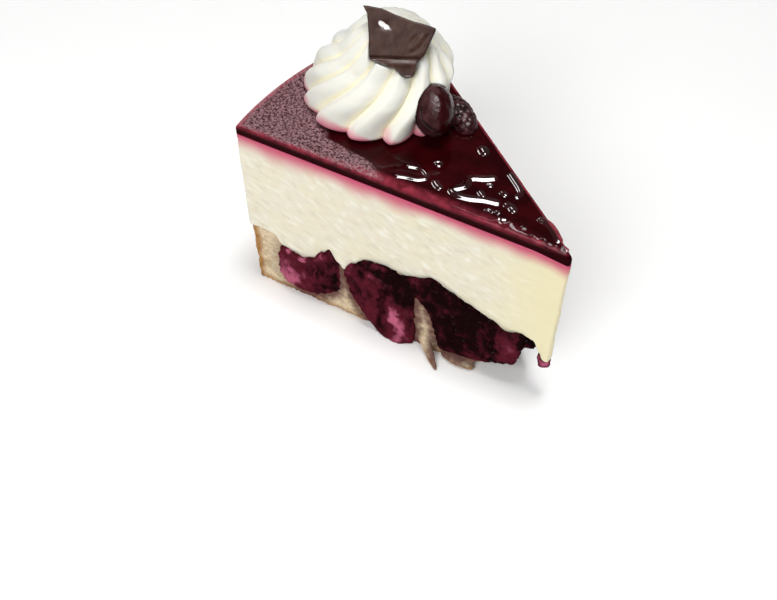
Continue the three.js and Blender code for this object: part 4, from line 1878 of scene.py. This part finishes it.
@dataclass
class Rosette:
    """The piped rosette: a turned form whose ridges lap over each other and twist up to the peak.

    Attributes:
        centre: The middle of its foot.
        crests: Direction in degrees and reach of each ridge at the foot.
        valley_share: Where the valley lies between two crests.
        foot_depth: Depth of the valleys at the foot.
        body_depth: Their depth higher up.
        deep_from: Height from which they are that deep.
        full_radius: Radius from which the ridges have their whole relief.
        twist: How far the ridges turn on the way up.
        twist_height: Height at which they have done so.
        lean: How far the peak leans along x and y.
        lean_height: Height at which it has done so.
        press: Share of the radius that the berries press in.
        press_to: Direction of the berries.
        press_width: Angles beside that direction between which the press ends.
        press_height: Heights between which it ends.
        profile: Radius and height of points from the foot's middle to the peak.
        stain_reach: How high the pink goes at the feet, and how far that varies.
    """

    centre: Triple = (-29.1, 6.0, CAKE.glaze_top + CAKE.gap)
    crests: Line = (
        (-168, 0), (-143, 0.3), (-120, 0.2), (-95, 0.5), (-63, 0.3), (-35, 1.3), (-11, 1), (14.4, 0),
        (39.8, 0), (65, 0), (90.5, 0), (116, 0), (141.4, 0), (166.8, 0),
    )
    valley_share: float = 0.77
    foot_depth: float = 1.8
    body_depth: float = 2.6
    deep_from: float = 6.0
    full_radius: float = 19.0
    twist: float = math.radians(36)
    twist_height: float = 24.0
    lean: Pair = (0.677 * 3, 0.736 * 3)
    lean_height: float = 20.0
    press: float = 0.125
    press_to: float = math.radians(60)
    press_width: Pair = (math.radians(26), math.radians(60))
    press_height: Pair = (6.0, 12.0)
    profile: Line = (
        (0.01, 0), (11, 0), (22.8, 0), (23.8, 1.2), (23.4, 4), (22.1, 8), (21, 10.6), (19, 13.2),
        (15.8, 16), (13.9, 18.8), (11.6, 22), (8.8, 24.4), (5.6, 26.9), (2.4, 28.6), (0.05, 29),
    )
    rows: int = 190
    corner_softening: int = 5
    rise_columns: int = 9
    fall_columns: int = 22
    softness: float = 0.3
    stain_reach: Pair = (4.0, 4.0)
    noise: Noise = Noise(61)

    def smooth_profile(self) -> tuple[Array, Array]:
        """Radius and height of each ring, along the profile with its corners rounded off.

        Returns:
            The two, with a value for each ring.
        """
        line = np.array(self.profile, float)
        at = np.linspace(0, travelled(line)[-1], self.rows)
        radius, height = softened(read_line(line, at), self.corner_softening).T[..., None]
        return radius, height

    def columns(self) -> tuple[Array, Array, Array]:
        """Direction, height on its ridge and reach of each column round the foot.

        From a valley the ridge rises steeply, as sin^0.8 of a quarter turn, and from its crest it
        falls gently to the next valley, as cos^0.9.

        Returns:
            The three, with a value for each column.
        """
        crest, reach = np.array(self.crests, float).T[..., None]
        crest = np.radians(crest)
        before = np.concatenate([crest[-1:] - 2 * math.pi, crest[:-1]])
        after = np.concatenate([crest[1:], crest[:1] + 2 * math.pi])
        rise = np.linspace(0, 1, self.rise_columns, endpoint=False)
        fall = np.linspace(0, 1, self.fall_columns, endpoint=False)
        valley = blend(before, crest, self.valley_share)
        climbing = blend(valley, crest, rise)
        sinking = blend(crest, blend(crest, after, self.valley_share), fall)
        angle = np.concatenate([climbing, sinking], axis=1).ravel()
        share = np.concatenate([
            np.sin(math.pi / 2 * rise) ** 0.8, np.cos(math.pi / 2 * fall) ** 0.9,
        ])
        raised = np.broadcast_to(share, (len(crest), len(share))).ravel()
        return angle, raised, np.broadcast_to(reach, (len(crest), len(share))).ravel()

    def axis(self, height: Array) -> Array:
        """Points of the leaning axis at some heights over the foot.

        Args:
            height: Heights over the foot.

        Returns:
            A point for each height.
        """
        side = smoothstep(height, 0, self.lean_height)
        rise = np.concatenate([self.lean[0] * side, self.lean[1] * side, height], axis=-1)
        return np.array(self.centre) + rise[:, None]

    def ridged(self, radius: Array, height: Array, turned: Array, columns: tuple[Array, Array]) -> Array:
        """Radius with ridges and valleys, pressed in beside the berries.

        Args:
            radius: The profile's radius, for each ring.
            height: Its height.
            turned: The direction of each point.
            columns: Height on its ridge and reach of each column.

        Returns:
            The radius of each point.
        """
        raised, reach = columns
        depth = blend(self.foot_depth, self.body_depth, smoothstep(height, 0, self.deep_from))
        relief = (reach * raised - depth * (1 - raised)) * smoothstep(radius, 1, self.full_radius)
        off = np.abs(np.angle(np.exp(1j * (turned - self.press_to))))
        pressed = self.press * fading(off, *self.press_width) * fading(height, *self.press_height)
        return (radius + relief) * (1 - pressed)

    def stain(self, points: Array) -> Array:
        """How pink the feet are: most at the glaze, fading over an uneven height."""
        reach = self.stain_reach[0] + self.stain_reach[1] * self.noise.smooth(points, 5.0)
        return 0.95 * fading(points[:, 2] - self.centre[2], 0.4, np.maximum(reach, 1.2))

    def build(self) -> None:
        """Makes the rosette, pressed in by the berries and the shard, and its marks."""
        radius, height = self.smooth_profile()
        angle, raised, reach = self.columns()
        twisted = (1 - np.cos(math.pi * np.clip(height / self.twist_height, 0, 1))) / 2
        turned = angle + self.twist * twisted
        carved = self.ridged(radius, height, turned, (raised, reach))
        way = np.stack(np.broadcast_arrays(np.cos(turned), np.sin(turned), 0.0), axis=-1)
        axis = self.axis(height)
        soft = self.noise.smooth(axis + way * carved[..., None], 6.5) * smoothstep(height, 0.5, 3.0)
        carved = np.maximum(carved + self.softness * soft * smoothstep(radius, 0.5, 6), 0.01)
        for berry in (ROUND_BERRY, BRAMBLE):
            carved = np.minimum(carved, berry.entry(axis, way, CAKE.gap))
        points = SHARD.cleared(axis + way * carved[..., None])[:, ::-1]
        piece = ring_piece("piped_rosette", Rings.closed(points))
        # where the valleys get their painted yellow glow
        hollow = smoothstep(1 - raised, 0.35, 0.95) * smoothstep(radius, 2, 12)
        mark_rings(piece, "valley", hollow[:, ::-1])
        mark(piece, "stain", self.stain(points_of(piece)))
        dress(piece, "rosette", Slot.PIPED_CREAM, PipedFinish().make())


@dataclass
class Shard:
    """The chocolate shard that leans against the rosette's peak.

    Attributes:
        corner: The place in space that its plane is measured from.
        facing: Direction of its front, seen from above.
        tilt: How far the front looks upwards.
        front: How far its front lies before the corner.
        thickness: Its thickness.
        edge_round: Radius of its rounded edges.
        outline: Its outline, as (across, up) points in its plane.
        middle: The place in its plane that its rings shrink to.
        tension: How rounded the outline's corners are.
        gloss_at: Middle of the painted highlight spot, as (across, up).
    """

    corner: Triple = (-25.1, -5.7, CAKE.glaze_top + 21.5)
    facing: float = math.radians(-46)
    tilt: float = math.radians(42)
    front: float = 1.0
    thickness: float = 2.5
    edge_round: float = 0.45
    outline: Line = (
        (2.8, 0.2), (6.3, -1.1), (10, -2.3), (13.3, -4.6), (15.1, -4.4), (15.8, -3.2), (16.4, -0.2),
        (18.4, 1.9), (21.3, 9.2), (14.8, 11.1), (9.4, 12.9), (5.7, 14.3), (0.6, 14.9), (1.7, 12.6),
        (2.4, 6.4),
    )
    middle: Pair = (10.0, 5.0)
    tension: float = 0.16
    around: int = 300
    face_rings: int = 60
    gloss_at: Pair = (7.0, 9.6)
    noise: Noise = Noise(71)

    def cleared(self, points: Array) -> Array:
        """Points of the cream, with those in the shard or in front of it pushed in behind it.

        Args:
            points: Points, in millimetres.

        Returns:
            The moved points.
        """
        across, up, face = self.frame()
        away = points - np.array(self.corner)
        flat = np.stack([away @ across, away @ up], axis=-1) - np.array(self.middle)
        rim = closed_curve(self.outline, self.around, self.tension) - np.array(self.middle)
        turn = np.arctan2(rim[:, 1], rim[:, 0])
        order = np.argsort(turn)
        limit = np.interp(
            np.arctan2(flat[..., 1], flat[..., 0]), turn[order], np.linalg.norm(rim, axis=1)[order],
            period=2 * math.pi,
        )
        behind = self.front - self.thickness - CAKE.gap
        level = away @ face
        inside = np.linalg.norm(flat, axis=-1) < limit + CAKE.gap
        return points + np.where(inside, np.minimum(behind - level, 0.0), 0.0)[..., None] * face

    def frame(self) -> tuple[Array, Array, Array]:
        """The directions across, up and out of the front face.

        Returns:
            The three unit vectors.
        """
        face = np.array([
            math.cos(self.tilt) * math.cos(self.facing),
            math.cos(self.tilt) * math.sin(self.facing),
            math.sin(self.tilt),
        ])
        across = np.cross([0.0, 0.0, 1.0], face)
        across /= np.linalg.norm(across)
        return across, np.cross(face, across), face

    def relief(self, across: Array, up: Array) -> Array:
        """Relief of the front: a step along a line near the foot, a ridged panel and dents.

        Args:
            across: Places across the plane.
            up: Places up the plane.

        Returns:
            The height at each point.
        """
        step = 0.4 * smoothstep(up, 0.6, 1.2) - 0.5 * np.exp(-(((up - 0.75) / 0.35) ** 2))
        panel = 0.3 * np.exp(-(((up + 0.9) / 0.8) ** 2)) * smoothstep(across, 6, 9)
        arcs = 0.18 * np.sin(2.2 * np.hypot(across - 11.5, up - 9.5)) * smoothstep(across, 13, 16)
        arcs = arcs * smoothstep(up, 1.0, 2.5) * fading(up, 6.5, 8.0)
        aside, above = across - self.gloss_at[0], up - self.gloss_at[1]
        dent = -0.5 * np.exp(-((aside / 1.9) ** 2) - (above / 1.2) ** 2)
        return step + panel + arcs + dent - 0.35

    def sheet(self) -> tuple[Array, Array, Array, Array]:
        """Back, rounded edge and front, as rings round the outline.

        Returns:
            Place in the plane, scale of the outline, level along the front's direction, and 1 on
            the front.
        """
        middle = np.array(self.middle)
        rim = closed_curve(self.outline, self.around, self.tension) - middle
        growing = np.linspace(0, 1, self.face_rings + 1)[1:-1]
        bend = np.linspace(0, math.pi / 2, 7)
        inset = self.edge_round * (1 - np.cos(bend))
        rise = self.edge_round * (1 - np.sin(bend))
        reach = np.linalg.norm(rim, axis=1)
        shrink = 1 - inset[:, None] / reach
        low, high = self.front - self.thickness, self.front
        scale = np.concatenate([
            growing[:, None] * shrink[-1], shrink[::-1], shrink, growing[::-1, None] * shrink[-1],
        ])
        level = np.concatenate([
            np.full(len(growing), low), (low + rise)[::-1], high - rise, np.full(len(growing), high),
        ])[:, None]
        flat = middle + rim * scale[..., None]
        front = smoothstep(level, high - 0.3, high) * np.ones_like(scale)
        level = level + front * self.relief(flat[..., 0], flat[..., 1]) * smoothstep(1 - scale, 0.0, 0.06)
        return flat, scale, level, front

    def build(self) -> None:
        """Makes the shard with its slightly wavy faces, and its marks."""
        flat, scale, level, front = self.sheet()
        across, up, face = self.frame()
        points = np.array(self.corner) + (
            flat[..., 0, None] * across + flat[..., 1, None] * up + level[..., None] * face
        )
        wave = 0.08 * self.noise.rough(points, 4.5)
        piece = ring_piece("chocolate", Rings.closed(points).raised(wave))
        mark_rings(piece, "edge", smoothstep(scale, 0.965, 0.995) * np.ones_like(front))
        # painted highlight: a near-white spot on the front
        aside, above = flat[..., 0] - self.gloss_at[0], flat[..., 1] - self.gloss_at[1]
        spot = np.hypot(aside / 1.9, (above + 0.45 * aside) / 0.9) + 0.5 * self.noise.rough(points, 1.6, 2)
        mark_rings(piece, "gloss", np.clip(front * fading(spot, 0.7, 1.0), 0, 1))
        dress(piece, "chocolate_shard", Slot.CHOCOLATE, ChocolateFinish().make())


SHARD = Shard()


@dataclass
class RoundBerry:
    """The soft round berry: dull on one side, with a thin sunken fold, and wet on the other."""

    form: Ellipsoid = ROUND_BERRY
    fold_axis: Triple = (-0.05, -0.72, 0.69)
    down: Triple = (0.0, -0.77, -0.64)
    fold_angle: float = math.radians(44)
    fold_width: float = 0.055
    fold_depth: float = 0.45
    sunk_depth: float = 0.3
    pucker_depth: float = 7.0
    grain_depth: float = 0.16
    noise: Noise = Noise(83)

    def from_fold_axis(self, directions: Array) -> Array:
        """The angle between directions and the axis of the fold."""
        return np.arccos(np.clip(directions @ np.array(self.fold_axis), -1, 1))

    def fold(self, directions: Array) -> Array:
        """How deep the fold is: an arc at a constant angle from its axis, below and to the left.

        Args:
            directions: Unit vectors.

        Returns:
            The depth in each direction.
        """
        away = self.from_fold_axis(directions)
        turn = np.arctan2(directions @ np.array(self.down), -directions[..., 0])
        window = smoothstep(turn, -0.35, 0.1) * fading(turn, 1.2, 1.7)
        return window * np.exp(-(((away - self.fold_angle) / self.fold_width) ** 2))

    def build(self) -> None:
        """Makes the berry and its marks."""
        directions, _, _ = ball(220, 150)
        pucker = 0.02 * np.sin(3 * directions[..., 0] + 2 * directions[..., 2])
        pucker = pucker - 0.015 * np.cos(4 * directions[..., 1] + 1)
        plain = self.form.at(directions)
        fold = self.fold(directions)
        away = self.from_fold_axis(directions)
        sunk = fading(away, 0.2, self.fold_angle) * smoothstep(-directions[..., 0], -0.5, 0.1)
        rough = self.noise.rough(plain, 3.0)
        relief = self.pucker_depth * pucker - self.fold_depth * fold
        relief = relief - self.sunk_depth * sunk + self.grain_depth * rough
        points = self.form.at(directions, relief)
        points[..., 2] = np.maximum(points[..., 2], CAKE.glaze_top + CAKE.gap)
        piece = ring_piece("soft_berry", Rings.closed(points))
        wet = smoothstep(directions[..., 0] + 0.2 * rough, 0.0, 0.35)
        foot = fading(points[..., 2] - CAKE.glaze_top, 1.0, 3.0)
        mark_rings(piece, "wet", np.maximum(wet, foot), first=1.0)
        # painted shade in the fold
        mark_rings(piece, "fold", fold)
        finish = BerryFinish(
            "soft_berry_skin", tone(46, 16, 18), tone(70, 36, 38), tone(44, 5, 8), tone(14, 5, 7), 0.42,
        )
        dress(piece, "round_berry", Slot.BERRY, finish.make())


@dataclass
class BrambleBerry:
    """Half a bramble berry, cut side down: a dome of round drupelets, spread by the golden angle."""

    form: Ellipsoid = BRAMBLE
    drupelets: int = 74
    drupelet_radius: float = 1.35
    relief: float = 0.55
    grain_depth: float = 0.07
    noise: Noise = Noise(89)

    def spread(self) -> Array:
        """The direction of each drupelet: equal steps of height, a golden angle apart.

        Returns:
            A unit vector for each drupelet.
        """
        number = np.arange(self.drupelets)
        height = 1 - (2 * number + 1) / self.drupelets
        ring = np.sqrt(1 - height**2)
        turn = number * math.pi * (3 - math.sqrt(5))
        return np.stack([ring * np.cos(turn), ring * np.sin(turn), height], axis=-1)

    def build(self) -> None:
        """Makes the berry and its marks.

        A drupelet stands out by the relief times the root of 1 less the squared distance to its
        middle, in drupelet radii.
        """
        directions, _, _ = ball(300, 200)
        seats = self.spread() * np.array(self.form.half)
        spots = directions * np.array(self.form.half)
        squared = np.sum(spots**2, axis=-1)[..., None] + np.sum(seats**2, axis=-1) - 2 * spots @ seats.T
        dome = np.sqrt(np.clip(1 - squared.min(axis=-1) / self.drupelet_radius**2, 0, 1))
        plain = self.form.at(directions)
        grain = self.noise.rough(plain, 0.9, 2)
        points = self.form.at(directions, self.relief * dome + self.grain_depth * grain)
        points = ROUND_BERRY.pushed_out(points, CAKE.gap)
        points[..., 2] = np.maximum(points[..., 2], self.form.centre[2])
        piece = ring_piece("bramble", Rings.closed(points))
        wet = fading(dome + 0.3 * grain, 0.1, 0.7)
        mark_rings(piece, "wet", wet)
        # painted shade between the drupelets
        mark_rings(piece, "fold", fading(dome, 0.0, 0.35))
        finish = BerryFinish(
            "bramble_skin", tone(42, 16, 18), tone(74, 38, 42), tone(40, 5, 9), tone(16, 4, 6), 0.3, 0.25,
        )
        dress(piece, "bramble_berry", Slot.BRAMBLE, finish.make())


# ---------------------------------------------------------------- studio
@dataclass(frozen=True)
class Softbox:
    """A square lamp that looks at the slice.

    Attributes:
        name: Its name.
        place: Where it stands, in metres.
        size: Its width in metres.
        power: Its power in watts.
        diffuse: Whether matt surfaces see it too.
    """

    name: str
    place: Triple
    size: float
    power: float
    diffuse: bool = True


@dataclass
class Studio:
    """The floor, the lamps and the camera at the photograph's viewing angle."""

    camera_place: Triple = (0.165785, -0.169175, 0.302328)
    camera_right: Triple = (0.676616, 0.736330, -0.002781)
    camera_up: Triple = (-0.579377, 0.534715, 0.615144)
    lens: float = 52.216
    sensor: float = 36.0
    aim: Triple = (0.0, 0.0, 0.05)
    world_strength: float = 0.22
    softboxes: tuple[Softbox, ...] = (
        Softbox("key", (0.25, -0.75, 0.8), 0.5, 6.6),
        Softbox("top", (0.05, 0.05, 1.1), 0.3, 6.8),
        Softbox("gloss", (0.05, 0.05, 1.12), 0.56, 31.0, False),
        Softbox("side_gloss", (-0.7, 0.19, 1.0), 0.3, 6.0, False),
    )

    def camera(self) -> None:
        """Adds the camera and makes it the scene's."""
        data = bpy.data.cameras.new("camera")
        data.lens = self.lens
        data.sensor_width = self.sensor
        data.sensor_fit = "HORIZONTAL"
        data.clip_start = 0.01
        camera = bpy.data.objects.new("camera", data)
        right, up = Vector(self.camera_right).normalized(), Vector(self.camera_up).normalized()
        turn = Matrix((right, up, right.cross(up))).transposed()
        camera.matrix_world = Matrix.Translation(self.camera_place) @ turn.to_4x4()
        bpy.context.scene.collection.objects.link(camera)
        bpy.context.scene.camera = camera

    def floor(self) -> None:
        """Adds a plain pale floor."""
        corners = np.array([[-1, -1, 0], [1, -1, 0], [1, 1, 0], [-1, 1, 0]]) * 2000.0
        floor = make_piece("floor", corners, [[0, 1, 2, 3]])
        recipe = Recipe("pale_floor")
        recipe.shade(Base_Color=(0.94, 0.94, 0.935, 1.0), Roughness=0.7, Specular_IOR_Level=0.2)
        floor.data.materials.append(recipe.material)

    def lamps(self) -> None:
        """Adds the softboxes and an even light from all round."""
        for box in self.softboxes:
            data = bpy.data.lights.new(box.name, "AREA")
            data.shape = "SQUARE"
            data.size = box.size
            data.energy = box.power
            lamp = bpy.data.objects.new(box.name, data)
            lamp.location = box.place
            lamp.visible_diffuse = box.diffuse
            lamp.rotation_euler = (Vector(self.aim) - Vector(box.place)).to_track_quat("-Z", "Y").to_euler()
            bpy.context.scene.collection.objects.link(lamp)
        world = bpy.data.worlds.new("studio")
        world.use_nodes = True
        background = world.node_tree.nodes["Background"]
        background.inputs["Color"].default_value = (1.0, 1.0, 1.0, 1.0)
        background.inputs["Strength"].default_value = self.world_strength
        bpy.context.scene.world = world

    def set_up(self) -> None:
        """Puts up the whole studio."""
        self.camera()
        self.floor()
        self.lamps()
        bpy.context.scene.view_settings.view_transform = "Standard"


def main() -> None:
    """Builds the slice from the base up; each piece logs its number of faces."""
    logging.basicConfig(level=logging.INFO, format="%(name)s: %(message)s")
    Studio().set_up()
    SpongeBase().build()
    flesh = CherryFinish().make()
    for cherry in (*CHERRY_PIECES, TipScrap()):
        cherry.build(flesh)
    CreamLayer().build()
    GlazeLayer().build()
    Rosette().build()
    SHARD.build()
    RoundBerry().build()
    BrambleBerry().build()


if __name__ == "__main__":
    main()
